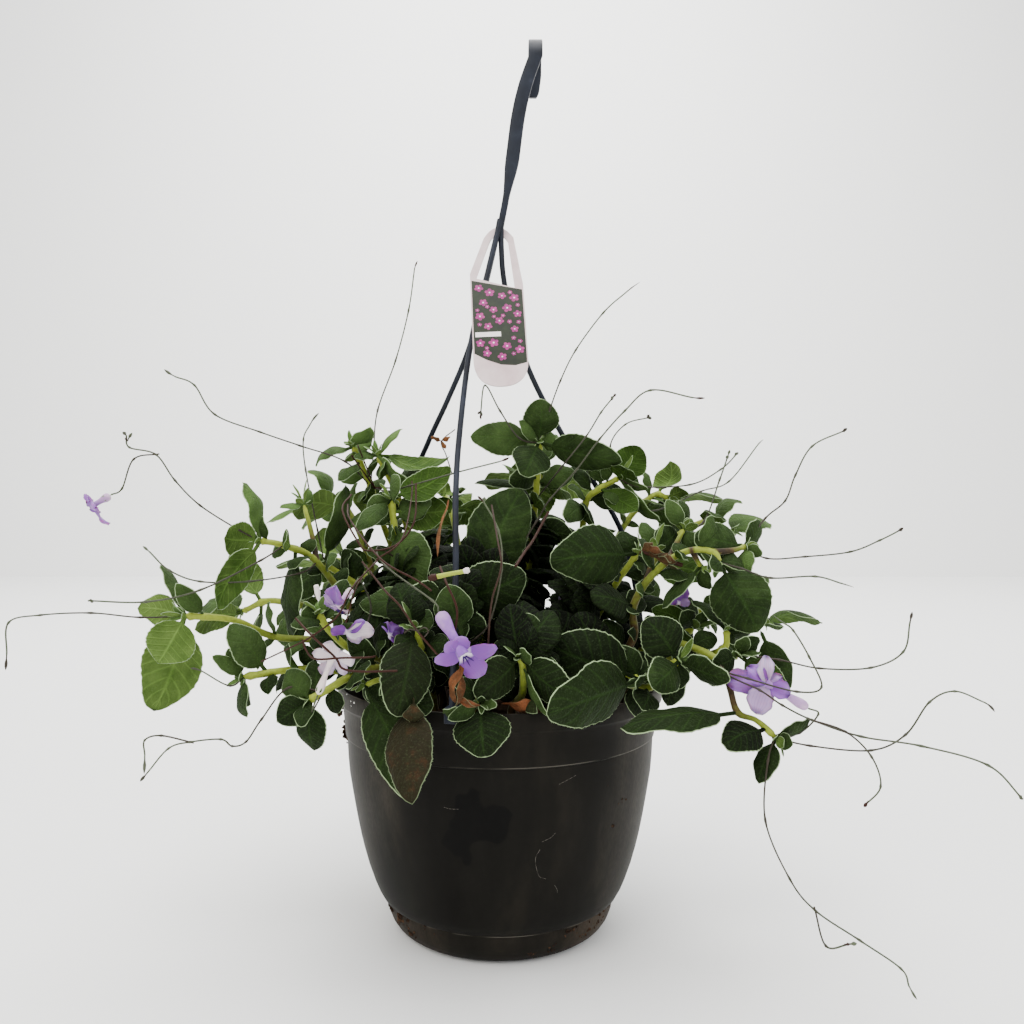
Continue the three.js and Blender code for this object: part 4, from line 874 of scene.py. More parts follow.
def makeDustyPot(name, look):
    # Injection-moulded polypropylene that has stood outdoors: dark and waxy, with grey-brown dust in upright
    # streaks that thickens towards its left and right sides as seen from the front, where it is partly
    # painted sheen; pale edges, partly wear and partly painted highlight; a darker patch
    material = newMaterial(name)
    where = addNode(material, "TexCoord").outputs["Object"]
    place = addNode(material, "SeparateXYZ", {0: where})
    upright = addNode(material, "Mapping", {"Vector": where, "Scale": (1.0, 1.0, 0.3)})
    cloud = addNode(material, "TexNoise", {"Vector": upright, "Scale": 1 / look["cloudSize"], "Detail": 5.0,
                                           "Roughness": 0.6})
    grain = addNode(material, "TexNoise", {"Vector": upright, "Scale": 1 / look["grainSize"], "Detail": 3.0})
    wall = addNode(material, "ValToRGB", {0: cloud}, stops=look["wall"])
    # Towards the left and right sides, as seen from the front, the dust colour is laid on thicker: there it
    # is dust with painted sheen at the silhouette
    sideways = addNode(material, "Math", {0: place.outputs[0]}, operation="ABSOLUTE")
    sides = addNode(material, "MapRange", {0: sideways, 1: look["sideDustAndSheenFrom"], 2: look["sideDustAndSheenTo"], 3: -0.25,
                                           4: 0.75})
    dust = addNode(material, "Math", {0: cloud, 1: 1.5, 2: -0.75}, operation="MULTIPLY_ADD")
    dustAndSheenSum = addNode(material, "Math", {0: dust, 1: sides}, operation="ADD")
    grainShare = addNode(material, "MapRange", {0: grain, 1: 0.36, 2: 0.64, 3: 0.3, 4: look["dustAndSheenMost"]})
    dustAndSheenShare = addNode(material, "Math", {0: dustAndSheenSum, 1: grainShare}, operation="MULTIPLY", use_clamp=True)
    dustAndSheenMixed = addNode(material, "Mix", {0: dustAndSheenShare, 6: wall, 7: toLinear(look["dust"])}, data_type="RGBA")
    ripple = addNode(material, "TexNoise", {"Vector": where, "Scale": 1 / look["rippleSize"], "Detail": 2.0})
    # A darker patch on the front of the wall
    strayed = addNode(material, "VectorMath", {0: ripple.outputs["Color"], 1: (0.05, 0.05, 0.05), 2: where},
                      operation="MULTIPLY_ADD")
    away = addNode(material, "VectorMath", {0: strayed, 1: look["patchPlace"]}, operation="DISTANCE")
    patch = addNode(material, "MapRange", {0: away.outputs["Value"], 1: look["patchSize"],
                                           2: look["patchSize"] + 2 * mm, 3: 0.75, 4: 0.0})
    darkerPatch = addNode(material, "Mix", {0: patch, 6: dustAndSheenMixed.outputs[2], 7: toLinear(look["darkerPatch"])},
                   data_type="RGBA")
    colour = darkerPatch.outputs[2]
    # Pale lines along the collar, the rim and the saucer's lip: partly wear, partly a painted highlight where
    # the edge catches the light
    for height in look["wornAndHighlitEdges"]:
        edge = addNode(material, "Math", {0: place.outputs[2], 1: height * mm, 2: look["edgeWidth"] * mm},
                       operation="COMPARE")
        wearAndHighlight = addNode(material, "MapRange", {0: ripple, 1: 0.35, 2: 0.62, 3: 0.0, 4: 0.34})
        share = addNode(material, "Math", {0: edge, 1: wearAndHighlight}, operation="MULTIPLY")
        mixed = addNode(material, "Mix", {0: share, 6: colour, 7: toLinear(look["wearAndHighlight"])}, data_type="RGBA")
        colour = mixed.outputs[2]
    bump = addNode(material, "Bump", {"Strength": 0.5, "Distance": 0.06 * mm, "Height": grain})
    shader = addNode(material, "BsdfPrincipled", {"Base Color": colour, "Roughness": look["roughness"],
                                                  "IOR": 1.49, "Specular IOR Level": 0.05, "Normal": bump})
    addNode(material, "OutputMaterial", {0: shader})
    return material


def makePetal():
    # Thin lilac petal, paler at the throat, with fine darker veins that run out to the edge
    material = newMaterial("lilacPetal")
    blade = addNode(material, "UVMap", uv_map="blade")
    place = addNode(material, "SeparateXYZ", {0: blade})
    tone = addNode(material, "Attribute", attribute_name="tone")
    parts = addNode(material, "SeparateColor", {0: tone.outputs["Color"]})
    reach = addNode(material, "Math", {0: place.outputs[0], 1: parts.outputs[1]}, operation="ADD")
    ramp = addNode(material, "ValToRGB", {0: reach}, stops=[(0.0, "#efe8ee"), (0.15, "#dccbe0"),
                                                            (0.28, "#5f2884"), (0.7, "#6f3390"),
                                                            (1.0, "#8552a8")])
    fan = addNode(material, "Math", {0: place.outputs[1], 1: 9.0}, operation="MULTIPLY")
    fold = addNode(material, "Math", {0: fan, 1: 0.5}, operation="PINGPONG")
    vein = addNode(material, "MapRange", {0: fold, 1: 0.0, 2: 0.14, 3: 0.28, 4: 0.0})
    whitened = addNode(material, "Mix", {0: parts.outputs[0], 6: ramp, 7: toLinear("#d6ccca")},
                       data_type="RGBA")
    veined = addNode(material, "Mix", {0: vein, 6: whitened.outputs[2], 7: toLinear("#4c3378")},
                     data_type="RGBA")
    centred = addNode(material, "Math", {0: place.outputs[1], 1: 2.0, 2: -1.0}, operation="MULTIPLY_ADD")
    side = addNode(material, "Math", {0: centred}, operation="ABSOLUTE")
    outer = addNode(material, "Math", {0: side, 1: place.outputs[0]}, operation="MAXIMUM")
    rim = addNode(material, "MapRange", {0: outer, 1: 0.8, 2: 0.97, 3: 0.0, 4: 1.0})
    rimShare = addNode(material, "Math", {0: rim, 1: parts.outputs[2]}, operation="MULTIPLY")
    colour = addNode(material, "Mix", {0: rimShare, 6: veined.outputs[2], 7: toLinear("#3f2a68")},
                     data_type="RGBA")
    shader = addNode(material, "BsdfPrincipled", {"Base Color": colour.outputs[2], "Roughness": 0.55,
                                                  "IOR": 1.4, "Subsurface Weight": 0.15,
                                                  "Subsurface Scale": 1.5 * mm, "Sheen Weight": 0.3,
                                                  "Sheen Tint": toLinear("#e8def4")})
    addNode(material, "OutputMaterial", {0: shader})
    return material


feltedLeaf = makeFeltedLeaf()
# Stems run from green at the tip to brown and woody at the foot; the darkest brown at the foot is partly
# painted shade under the leaves
stemStopsWithFootShade = [(0.0, "#8b9833"), (0.4, "#606c1f"), (0.7, "#4a3a1e"), (1.0, "#24170d")]
fleshyStem = makeSimpleGrowth("fleshyStem", stemStopsWithFootShade, 2.2 * mm, 0.55, 0.3, "#dfe6c4", 0.3 * mm)
wiryStalk = makeSimpleGrowth("wiryStalk", [(0.0, "#535c46"), (0.5, "#35322a"), (1.0, "#2e140b")],
                             1.2 * mm, 0.6, 0.0, "#e4e6d2", 0.1 * mm)
lilacPetal = makePetal()
tubeStops = [(0.0, "#ded2cc"), (0.3, "#b896bc"), (0.7, "#8a5cac"), (1.0, "#6c3a98")]
lilacTube = makeSimpleGrowth("lilacTube", tubeStops, 4 * mm, 0.5, 0.1, "#f0e8f4", 0.05 * mm)
violetLine = makeSimpleGrowth("violetLine", [(0.0, "#2c1450"), (1.0, "#3a1c60")], 3 * mm, 0.6, 0.0, "#ffffff",
                              0.01 * mm)
potFinish = {"wall": [(0.3, "#0b0a08"), (0.55, "#12110e"), (0.75, "#1e1b16")], "cloudSize": 45 * mm,
             "grainSize": 1.1 * mm, "rippleSize": 22.22 * mm, "dust": "#47423a", "sideDustAndSheenFrom": 0.05,
             "sideDustAndSheenTo": 0.105, "dustAndSheenMost": 0.7, "darkerPatch": "#060606", "patchPlace": (0.012, -0.072, 0.12),
             "patchSize": 17 * mm, "wearAndHighlight": "#7d796f", "wornAndHighlitEdges": [128, 159.9], "edgeWidth": 0.25,
             "roughness": 0.52}
saucerFinish = {**potFinish, "wall": [(0.3, "#12110e"), (0.55, "#1b1915"), (0.75, "#29241e")],
                "dust": "#54483c", "sideDustAndSheenFrom": 0.0, "sideDustAndSheenTo": 0.09, "patchPlace": (0, 0, 1),
                "wornAndHighlitEdges": [21.1, 20.1]}
potPlastic = makeDustyPot("potPolypropylene", potFinish)
saucerPlastic = makeDustyPot("saucerPolypropylene", saucerFinish)
paleScratch = makeSimpleGrowth("paleScratch", [(0.0, "#3d3a35"), (1.0, "#757067")], 2 * mm, 0.8, 0.0,
                               "#ffffff", 0.02 * mm)
hangerPlastic = makeMoulded("hangerPolypropylene", [(0.3, "#12141a"), (0.6, "#1e222b"), (0.8, "#2e323e")],
                            25 * mm, 0.42, 0.02 * mm)
peat = makeSimpleGrowth("moistPeat", [(0.0, "#1a110b"), (0.5, "#2d1f15"), (1.0, "#4a3626")],
                        2.5 * mm, 0.95, 0.0, "#ffffff", 1.2 * mm)

# Leaves and petals: one closed blade is modelled, and its copies are bent to each place


def bladeMaster(segments, rings):
    deselectAll()
    bpy.ops.mesh.primitive_uv_sphere_add(segments=segments, ring_count=rings, radius=1)
    points, faces = takeMesh()
    place = 1 - np.arccos(np.clip(points[:, 2], -1, 1)) / math.pi
    spread = np.hypot(points[:, 0], points[:, 1])
    spread[spread < 1e-5] = 1
    side = -points[:, 0] / spread
    rims = [np.array(sorted((i for i in range(len(place)) if side[i] * sign > 0.999), key=lambda i: place[i]))
            for sign in (-1, 1)]
    return {"place": place, "side": side, "face": points[:, 1] / spread, "faces": faces, "rims": rims}


largeBlade, smallBlade, petalBlade = bladeMaster(24, 30), bladeMaster(12, 16), bladeMaster(20, 20)
bladeLook = {
    "large": 20,
    "thick": 0.5,
    "petiole": 1.15,
    "petioleEnd": 0.2,
    "sunken": 1.5,
    "teeth": 0.02,
    "wave": 0.07,
    "waves": (1.2, 2.4),
    "droop": 0.05,
    "sway": 0.04,
    "hairStep": 0.75,
    "hairLength": (0.5, 1.05),
    "hairyWidth": 9,
}
# How light a leaf is: lighter high up and towards the left as painted light, darker near the pot's axis as
# painted shade of the mound's heart, and lighter when it is small
leafToneAndPaintedLight = {
    "middle": 0.36,
    "spread": (-0.14, 0.22),
    "height": (215, 270),
    "reach": (105, 450),
    "small": (22, 0.007),
    "aside": (-60, 100, 0.0008),
    "plain": 0.05,
    "dryness": (-1.6, 0.1),
}


def bendLeaf(leaf, master, draw):
    place, side, face = master["place"], master["side"], master["face"]
    end, sunken = bladeLook["petioleEnd"], bladeLook["sunken"]
    share = np.clip((place - end) / (1 - end), 0, 1)
    length, petiole = leaf["length"], leaf["length"] * plantRule["petioleShare"]
    small = min(1, leaf["width"] / 16)
    teeth = 1 + bladeLook["teeth"] * np.sin(2 * np.pi * 10 * share)
    stalk = bladeLook["petiole"] * small * np.clip(1 - share * 5, 0, 1) * np.clip(place * 25, 0, 1)
    half = np.maximum(leaf["width"] / 2 * halfWidth(share, plantRule["leafForm"]) * teeth, stalk)
    blend = np.clip(share / 0.12, 0, 1)
    thick = stalk * (1 - blend) + bladeLook["thick"] * (0.6 + 0.4 * small) * blend * (1 - share ** 12)
    distance = np.where(place < end, (petiole + sunken) * place / end - sunken,
                        petiole + (length - petiole) * share)
    phase, waves = draw(0, 6.28), draw(*bladeLook["waves"])
    height = leaf["arch"] * 4 * share * (1 - share) - plantRule["cup"] * half * side * side
    wave = bladeLook["wave"] * leaf["width"] * np.sin(waves * 6.28 * share + phase)
    height = height + wave * side ** 2 * share - bladeLook["droop"] * length * share ** 3 * draw(0, 1.6)
    crumple = leaf.get("crumple", 0)
    height = height + crumple * leaf["width"] * np.sin(8 * share + phase) * np.cos(3.4 * side + 2 * phase)
    half = half * (1 + 1.8 * crumple * np.sin(8 * share + 3 * phase))
    height = height + np.sign(face) * np.abs(face) ** 0.7 * thick
    sway = draw(-bladeLook["sway"], bladeLook["sway"]) * length * np.sin(np.pi * share)
    points = leaf["root"] + np.outer(distance, leaf["along"])
    points = points + np.outer(half * side + sway, leaf["across"]) + np.outer(height, leaf["out"])
    inward = np.minimum(half * (1 - np.abs(side)), (length - distance) * 0.8) + 2 * (share < 0.04)
    return points, np.column_stack([share, (side + 1) / 2]), (face < -0.05).astype(float), inward


# Short hairs stand out all round the edge and catch the light
def addHair(points, faces, root, way, across, out):
    start = len(points)
    points += [root - across * 0.08, root + across * 0.08, root + out * 0.1, root + way]
    faces += [[start, start + 1, start + 3], [start + 1, start + 2, start + 3], [start + 2, start, start + 3]]


def marginHairs(leafPoints, master, draw):
    points, faces = [], []
    left, right = leafPoints[master["rims"][0]], leafPoints[master["rims"][1]]
    middle = (left + right) / 2
    for rim in (left, right):
        for here, ahead, centre in list(zip(rim, rim[1:], middle))[len(rim) // 5:-1]:
            span = ahead - here
            along = unit(span + 1e-6)
            outward = unit(here - centre + 1e-6)
            out = unit(np.cross(along, outward))
            for i in range(max(1, int(np.linalg.norm(span) / bladeLook["hairStep"]))):
                root = here + span * draw(0, 1) - outward * 0.1
                way = unit(outward + along * draw(0, 0.7) + out * draw(-0.4, 0.4))
                addHair(points, faces, root, way * draw(*bladeLook["hairLength"]), along, out)
    return points, faces


def buildMesh(name, points, faces, uvs, tones, material, inward=None):
    mesh = bpy.data.meshes.new(name)
    mesh.from_pydata((np.asarray(points) * mm).tolist(), [], faces)
    layer = mesh.uv_layers.new(name="blade")
    corners = np.empty(len(mesh.loops), dtype=np.int32)
    mesh.loops.foreach_get("vertex_index", corners)
    layer.data.foreach_set("uv", np.asarray(uvs, dtype=np.float32)[corners].ravel())
    attribute = mesh.attributes.new("tone", "FLOAT_COLOR", "POINT")
    colours = np.column_stack([np.asarray(tones, dtype=np.float32), np.ones(len(tones), dtype=np.float32)])
    attribute.data.foreach_set("color", colours.astype(np.float32).ravel())
    if inward is not None:
        edge = mesh.attributes.new("inward", "FLOAT", "POINT")
        edge.data.foreach_set("value", np.asarray(inward, dtype=np.float32))
    mesh.polygons.foreach_set("use_smooth", [True] * len(mesh.polygons))
    mesh.materials.append(material)
    return addObject(name, mesh)


# Many parts in one mesh. Each has its points, its faces, places on the blade, tones, and for leaves also the
# distance from the edge.
def buildParts(name, parts, material):
    faces, count = [], 0
    for part in parts:
        faces += [[corner + count for corner in face] for face in part[1]]
        count += len(part[0])
    points, uvs, tones, *inward = [np.concatenate(column) for i, column in enumerate(zip(*parts)) if i != 1]
    return buildMesh(name, points, faces, uvs, tones, material, *inward)


def leafBrightnessAndPaintedLight(leaf, middle, hairy, draw):
    (height, perHeight), (reach, perReach) = leafToneAndPaintedLight["height"], leafToneAndPaintedLight["reach"]
    (width, perWidth), (left, right, perAside) = leafToneAndPaintedLight["small"], leafToneAndPaintedLight["aside"]
    x, y, z = middle
    brightAndPaintedLight = leafToneAndPaintedLight["middle"] + draw(*leafToneAndPaintedLight["spread"]) + (z - height) / perHeight
    brightAndPaintedLight += (math.hypot(x, y) - reach) / perReach + perWidth * max(0, width - leaf["width"])
    brightAndPaintedLight += leaf.get("shade", 0) - perAside * min(right, max(left, x))
    return brightAndPaintedLight if hairy else brightAndPaintedLight - leafToneAndPaintedLight["plain"]


def leavesPiece(name, leaves, draw, hairy):
    parts = []
    for leaf in leaves:
        master = largeBlade if leaf["width"] >= bladeLook["large"] and hairy else smallBlade
        points, uvs, under, edge = bendLeaf(leaf, master, draw)
        # Leaves with a deep shade, those in the mound's heart, lose the pale margin as painted shade
        edge = edge * (1 if hairy else 1.4) + (0.6 if leaf.get("shade", 0) < -0.1 else 0)
        brightAndPaintedLight = leafBrightnessAndPaintedLight(leaf, points.mean(axis=0), hairy, draw)
        dried = max(leaf.get("dry", 0), draw(*leafToneAndPaintedLight["dryness"]), 0)
        tones = np.column_stack([np.full(len(under), brightAndPaintedLight), under, np.full(len(under), dried)])
        parts.append((points, master["faces"], uvs, tones, edge))
        if hairy and leaf["width"] > bladeLook["hairyWidth"]:
            hairPoints, hairFaces = marginHairs(points, master, draw)
            count = len(hairPoints)
            parts.append((np.array(hairPoints), hairFaces, np.tile([0.5, 1.0], (count, 1)),
                          np.tile([0.6, 0.0, 0.0], (count, 1)), np.zeros(count)))
    return buildParts(name, parts, feltedLeaf)


# Round stems and stalks: each route has its points, its radii, and a tone along it
def tubesPiece(name, routes, sides, material):
    curve = bpy.data.curves.new(name, "CURVE")
    curve.dimensions = "3D"
    curve.bevel_depth = 1
    curve.bevel_resolution = sides
    curve.use_fill_caps = True
    tree = kdtree.KDTree(sum(len(points) for points, radii, tones in routes))
    marks = []
    for points, radii, tones in routes:
        spline = curve.splines.new("POLY")
        spline.points.add(len(points) - 1)
        for target, point, radius, tone in zip(spline.points, points, radii, tones):
            target.co = (*(point * mm), 1)
            target.radius = radius * mm
            tree.insert(Vector(point * mm), len(marks))
            marks.append(tone)
    tree.balance()
    piece = addObject(name, curve)
    setActive(piece)
    bpy.ops.object.convert(target="MESH")
    mesh = piece.data
    for layer in list(mesh.uv_layers):
        mesh.uv_layers.remove(layer)
    attribute = mesh.attributes.new("tone", "FLOAT_COLOR", "POINT")
    for i, vertex in enumerate(mesh.vertices):
        attribute.data[i].color = (marks[tree.find(vertex.co)[1]], 0, 0, 1)
    mesh.polygons.foreach_set("use_smooth", [True] * len(mesh.polygons))
    mesh.materials.clear()
    mesh.materials.append(material)
    return piece


# Radii at the foot of a main stem and of a side stem with what each loses to its tip, the swelling at a node
# and how far it spreads, and the tone at the foot with its change to the tip
stemLook = {"radii": [(3, 1.1), (2.1, 0.8)], "step": 3, "nodeSwell": 0.45, "nodeSpread": 1.3,
            "tipShare": 0.35, "stemTone": (1.32, -1.45), "stalk": 0.5, "stalkSteps": 14, "stalkNode": 0.32,
            "stalkSpread": 0.9, "stalkTone": (0.7, -0.6), "budLength": 3.6}


def stemRoute(name, stemIndex):
    stem = curves[name]["stems"][stemIndex]
    count = max(12, int(np.linalg.norm(np.diff(stem, axis=0), axis=1).sum() / stemLook["step"]))
    places = np.arange(count + 1) / count
    points = samplesAlong(stem, count)
    start, loss = stemLook["radii"][min(stemIndex, 1)]
    radii = start - loss * places
    offset = len(plantRule["stemFoot"]) if stemIndex == 0 else 0
    for row in shoots[name]["leaves"]:
        if row[0] == stemIndex:
            node = (row[1] + offset) / (len(stem) - 1)
            away = (places - node) * count / stemLook["nodeSpread"]
            radii = radii + stemLook["nodeSwell"] * np.exp(-away ** 2)
    radii[-1] *= stemLook["tipShare"]
    tone, change = stemLook["stemTone"]
    return points, radii, np.clip(tone + change * places, 0.05, 1)


def stalkRoute(stalk):
    steps = stemLook["stalkSteps"]
    count = max(2, len(stalk) - 1) * steps
    places = np.arange(count + 1) / count
    radii = np.full(count + 1, stemLook["stalk"])
    for i in range(1, len(stalk) - 1):
        away = (places * (len(stalk) - 1) - i) * steps / stemLook["stalkSpread"]
        radii += stemLook["stalkNode"] * np.exp(-away ** 2)
    tone, change = stemLook["stalkTone"]
    return samplesAlong(stalk, count), radii, np.clip(tone + change * places, 0, 1)


# The end of a stalk: small closed buds on hair-thin forks, one long pod, or a bare hook
def budRoutes(stalk, draw):
    tip, heading = stalk[-1], unit(stalk[-1] - stalk[-2])
    aside = unit(np.cross(heading, np.array([draw(-1, 1), 0.3, draw(-1, 1)])))
    shares, routes, kind = (0, 0.35, 0.6, 0.8, 1), [], draw(0, 1)
    for side in ((-1, 0, 1) if kind < 0.25 else (-1, 1) if kind < 0.55 else (0,)):
        length = stemLook["budLength"] * (draw(0.7, 1.4) if kind < 0.55 else draw(1.6, 2.8))
        way = unit(heading + aside * side * draw(0.4, 1.0))
        start = tip - heading * (1 + draw(1, 3) * abs(side))
        curl = draw(-0.5, 0.5) * length
        points = np.array([start + way * length * share + aside * curl * share ** 2 for share in shares])
        swell = draw(0.7, 1.1) if kind < 0.9 else 0.32
        routes.append((points, np.array([0.4, 0.45, swell, swell * 0.85, 0.12]), np.full(5, draw(0.1, 1.0))))
    return routes


growDraw = makeDraw(9043)
for name in shoots:
    stems, stalks = curves[name]["stems"], curves[name]["stalks"]
    pieces = [leavesPiece(name + "Leaves", grown[name], growDraw, True)]
    if extra[name]:
        pieces.append(leavesPiece(name + "Small", extra[name], growDraw, False))
    pieces.append(tubesPiece(name + "Stems", [stemRoute(name, i) for i in range(len(stems))], 2, fleshyStem))
    if stalks:
        routes = [stalkRoute(stalk) for stalk in stalks]
        carriers = [bloom["shoot"] for bloom in blooms.values()].count(name)
        for stalk in stalks[:len(stalks) - carriers]:
            routes += budRoutes(stalk, growDraw)
        pieces.append(tubesPiece(name + "Stalks", routes, 1, wiryStalk))
    finishPiece(joinPieces("living_" + name, pieces), "foliage", "shoot_" + name)
print("shoots done")

# Flowers: a narrow tube in a small green calyx opens into five lobes round a white throat

bloomLook = {
    "thick": 0.22,
    "gap": 0.6,
    "places": [0, 0.04, 0.1, 0.2, 0.3, 0.4, 0.5, 0.62, 0.75, 0.88, 1],
    "tubeRadii": [0.8, 3.0, 4.0, 4.2, 3.8, 3.2, 2.7, 2.6, 2.8, 3.1, 3.3],
    "throatLines": [(-20, 7.0), (6, 8.4), (32, 6.0)],
    "lobeForm": (1.25, 0.55),
    "bare": 0,
    "crumple": 0.045,
    "rim": 0.1,
    "sepals": 5,
    "lobes": [(32, 0.7, 0.4, 0), (-32, 0.7, 0.4, 0), (100, 0.95, 0.36, 0), (-100, 0.95, 0.36, 0),
              (180, 1.1, 0.42, 0)],
}
# Each flower has its share of the tube's radius, and the tube's tone at both ends. Some also have their own
# lobes by angle, length, width and paleness, how crumpled these are, how far the throat's white is left out,
# how dark their rim is, and the number of sepals.
bloomStyles = {
    "bloom_front": {
        "lobes": [(-16, 0.52, 0.5, 0), (-66, 0.58, 0.5, 0), (86, 1.0, 0.25, 0), (-112, 0.86, 0.26, 0),
                  (146, 1.02, 0.37, 0)],
        "tube": 1,
        "tones": (0.42, 0.85),
        "sepals": 0,
    },
    "bloom_right": {
        "lobes": [(-4, 0.86, 0.3, 0.4), (-50, 0.74, 0.42, 0.0), (-88, 1.16, 0.3, 0.05), (198, 0.9, 0.42, 0.3),
                  (112, 0.72, 0.4, 0.0), (62, 0.5, 0.4, 0.2)],
        "crumple": 0.2,
        "bare": 0.24,
        "tube": 0.7,
        "tones": (0.25, 0.6),
        "rim": 0.7,
    },
    "bloom_left_low": {
        "lobes": [(-8, 0.92, 0.4, 0.86), (62, 0.74, 0.44, 0.84), (-84, 0.95, 0.34, 0.86),
                  (-138, 0.8, 0.36, 0.6), (150, 0.78, 0.38, 0.62)],
        "tube": 0.55,
        "tones": (0.0, 0.05),
        "bare": 0.1,
        "rim": 0.5,
        "crumple": 0.1,
    },
    "bloom_left_high": {
        "lobes": [(34, 1.3, 0.34, 0.0), (-20, 0.7, 0.42, 0.2), (-92, 0.8, 0.34, 0.0), (150, 0.6, 0.4, 0.7)],
        "crumple": 0.1,
        "tube": 0.55,
        "tones": (0.1, 0.5),
        "rim": 0.5,
    },
    "bloom_far_left": {"crumple": 0.14, "bare": 0.2, "tube": 0.6, "tones": (0.2, 0.6)},
}


def bendLobe(throat, face, upward, aside, lobe, draw, crumple):
    angle, length, width = lobe
    turn = math.radians(angle)
    along = upward * math.cos(turn) + aside * math.sin(turn)
    across = np.cross(along, face)
    place, side, front = petalBlade["place"], petalBlade["side"], petalBlade["face"]
    half = length * width * halfWidth(place, bloomLook["lobeForm"])
    half = half * (1 + 0.05 * np.sin(place * 21 + draw(0, 6)) * (place > 0.5))
    half = np.maximum(half, length * 0.1 * (place < 0.5) * np.clip(place * 8, 0, 1))
    reach = length * (place * 1.06 - 0.06)
    lift = -0.1 * reach - 0.5 * length * (place - 0.55) ** 2 * (place > 0.55)
    ripple = np.sin(6.4 * place + draw(0, 6.28)) * side ** 2 + 0.6 * np.sin(5 * side + draw(0, 6.28)) * place
    lift = lift + crumple * length * ripple - 0.12 * half * side ** 2
    lift = lift + front * bloomLook["thick"]
    points = throat + np.outer(reach, along) + np.outer(half * side, across) + np.outer(lift, face)
    return points, np.column_stack([place, (side + 1) / 2])


def lobesPiece(name, lobes, draw):
    parts = []
    for throat, face, upward, aside, lobe, pale, bare, crumple, rim in lobes:
        points, uvs = bendLobe(throat, face, upward, aside, lobe, draw, crumple)
        parts.append((points, petalBlade["faces"], uvs, np.tile([pale, bare, rim], (len(points), 1))))
    return buildParts(name, parts, lilacPetal)


for name, bloom in blooms.items():
    base, throat, tubeWay, face, upward, aside = bloomFrame(bloom)
    style = {**bloomLook, **bloomStyles[name]}
    lobes = [(throat, face, upward, aside, (angle, size * bloom["petal"], width), paleness, style["bare"],
              style["crumple"], style["rim"]) for angle, size, width, paleness in style["lobes"]]
    pieces = [lobesPiece(name + "Lobes", lobes, growDraw)]
    start, end = base + tubeWay * bloomLook["gap"], throat + face * 0.4
    route = np.array([start + (end - start) * share for share in bloomLook["places"]])
    radii = np.array(bloomLook["tubeRadii"]) * style["tube"]
    tones = np.linspace(*style["tones"], len(radii))
    pieces.append(tubesPiece(name + "Tube", [(route, radii, tones)], 3, lilacTube))
    lines = []
    for angle, length in bloomLook["throatLines"]:
        turn = math.radians(style["lobes"][-1][0] + angle)
        along = upward * math.cos(turn) + aside * math.sin(turn)
        reach = np.array([throat + face * 0.7 + along * length * share - face * 0.1 * length * share
                          for share in (0.2, 0.55, 1)])
        lines.append((reach, np.array([0.5, 0.46, 0.16]), np.full(3, 0.5)))
    if not style["bare"]:
        pieces.append(tubesPiece(name + "Lines", lines, 0, violetLine))
    sepals = []
    for i in range(style["sepals"]):
        turn = i * 2 * math.pi / 5
        side = unit(np.cross(tubeWay, up + 0.01))
        way = side * math.cos(turn) + np.cross(tubeWay, side) * math.sin(turn)
        sepals.append(leafFrame(base + tubeWay * 0.3, base + tubeWay * 4.5 + way * 2.6, 1.6, 0, 0.4, way))
    if sepals:
        pieces.append(leavesPiece(name + "Calyx", sepals, growDraw, False))
    finishPiece(joinPieces("flower_" + name, pieces), "flower", name)

# Dry twigs and stalks among the leaves: radius, tone from green to brown, and the route
dryTwigs = [
    (0.6, 1.0, [[-94, -40, 284], [-96, -60, 274], [-83, -75, 254], [-77, -76, 250], [-62, -70, 253],
                [-52, -60, 267], [-53, -40, 291]]),
    (0.55, 1.0, [[-100, -20, 278], [-91, -60, 268], [-65, -112, 247], [-45, -118, 236], [-36, -120, 230]]),
    (0.6, 1.0, [[-82, -70, 243], [-63, -112, 230], [-53, -122, 222], [-43, -127, 209], [-32, -127, 196]]),
    (0.35, 0.6, [[-43, -127, 209], [-39, -128, 211], [-37, -129, 209], [-39, -129, 206]]),
    (0.35, 0.6, [[-43, -127, 209], [-47, -128, 210], [-50, -128, 208]]),
    (0.7, 1.0, [[-33, -100, 242], [-28, -118, 234], [-22, -124, 221], [-23, -122, 209], [-25, -116, 200]]),
    (0.55, 0.85, [[-4, -84, 277], [0, -112, 257], [2, -122, 243], [-3, -124, 225], [-5, -120, 203],
                  [-5, -110, 193]]),
    (0.9, 0.95, [[31, -40, 273], [21, -60, 256], [16, -75, 250], [10, -95, 242]]),
    (0.5, 1.0, [[-71, -80, 245], [-80, -118, 231], [-86, -126, 217], [-100, -126, 206], [-113, -120, 199],
                [-133, -105, 189]]),
    (0.4, 1.0, [[-78, -95, 235], [-79, -112, 230], [-82, -124, 213]]),
    (0.65, 1.0, [[-112, -112, 214], [-100, -125, 206], [-87, -128, 195], [-83, -128, 189], [-73, -126, 187],
                 [-55, -118, 186]]),
    (0.55, 1.0, [[-107, -118, 203], [-104, -122, 198], [-98, -127, 194], [-83, -130, 195], [-69, -128, 195],
                [-67, -118, 194]]),
    (0.6, 1.0, [[-30, -10, 299], [-48, 6, 295], [-66, 12, 290], [-88, 18, 290]]),
    (0.5, 1.0, [[-88, 18, 290], [-95, 5, 302], [-100, -5, 311]]),
    (0.5, 0.9, [[-88, 18, 290], [-93, 8, 306], [-96, -5, 318]]),
    (0.5, 1.0, [[-60, 0, 298], [-56, -40, 281], [-56, -90, 257], [-69, -100, 246]]),
    (0.4, 0.8, [[-32, -10, 298], [-36, -12, 311], [-39, -12, 320], [-30, -12, 328]]),
    (1.5, 1.0, [[85, -72, 250], [93, -73, 247], [101, -72, 244], [110, -70, 241]]),
]
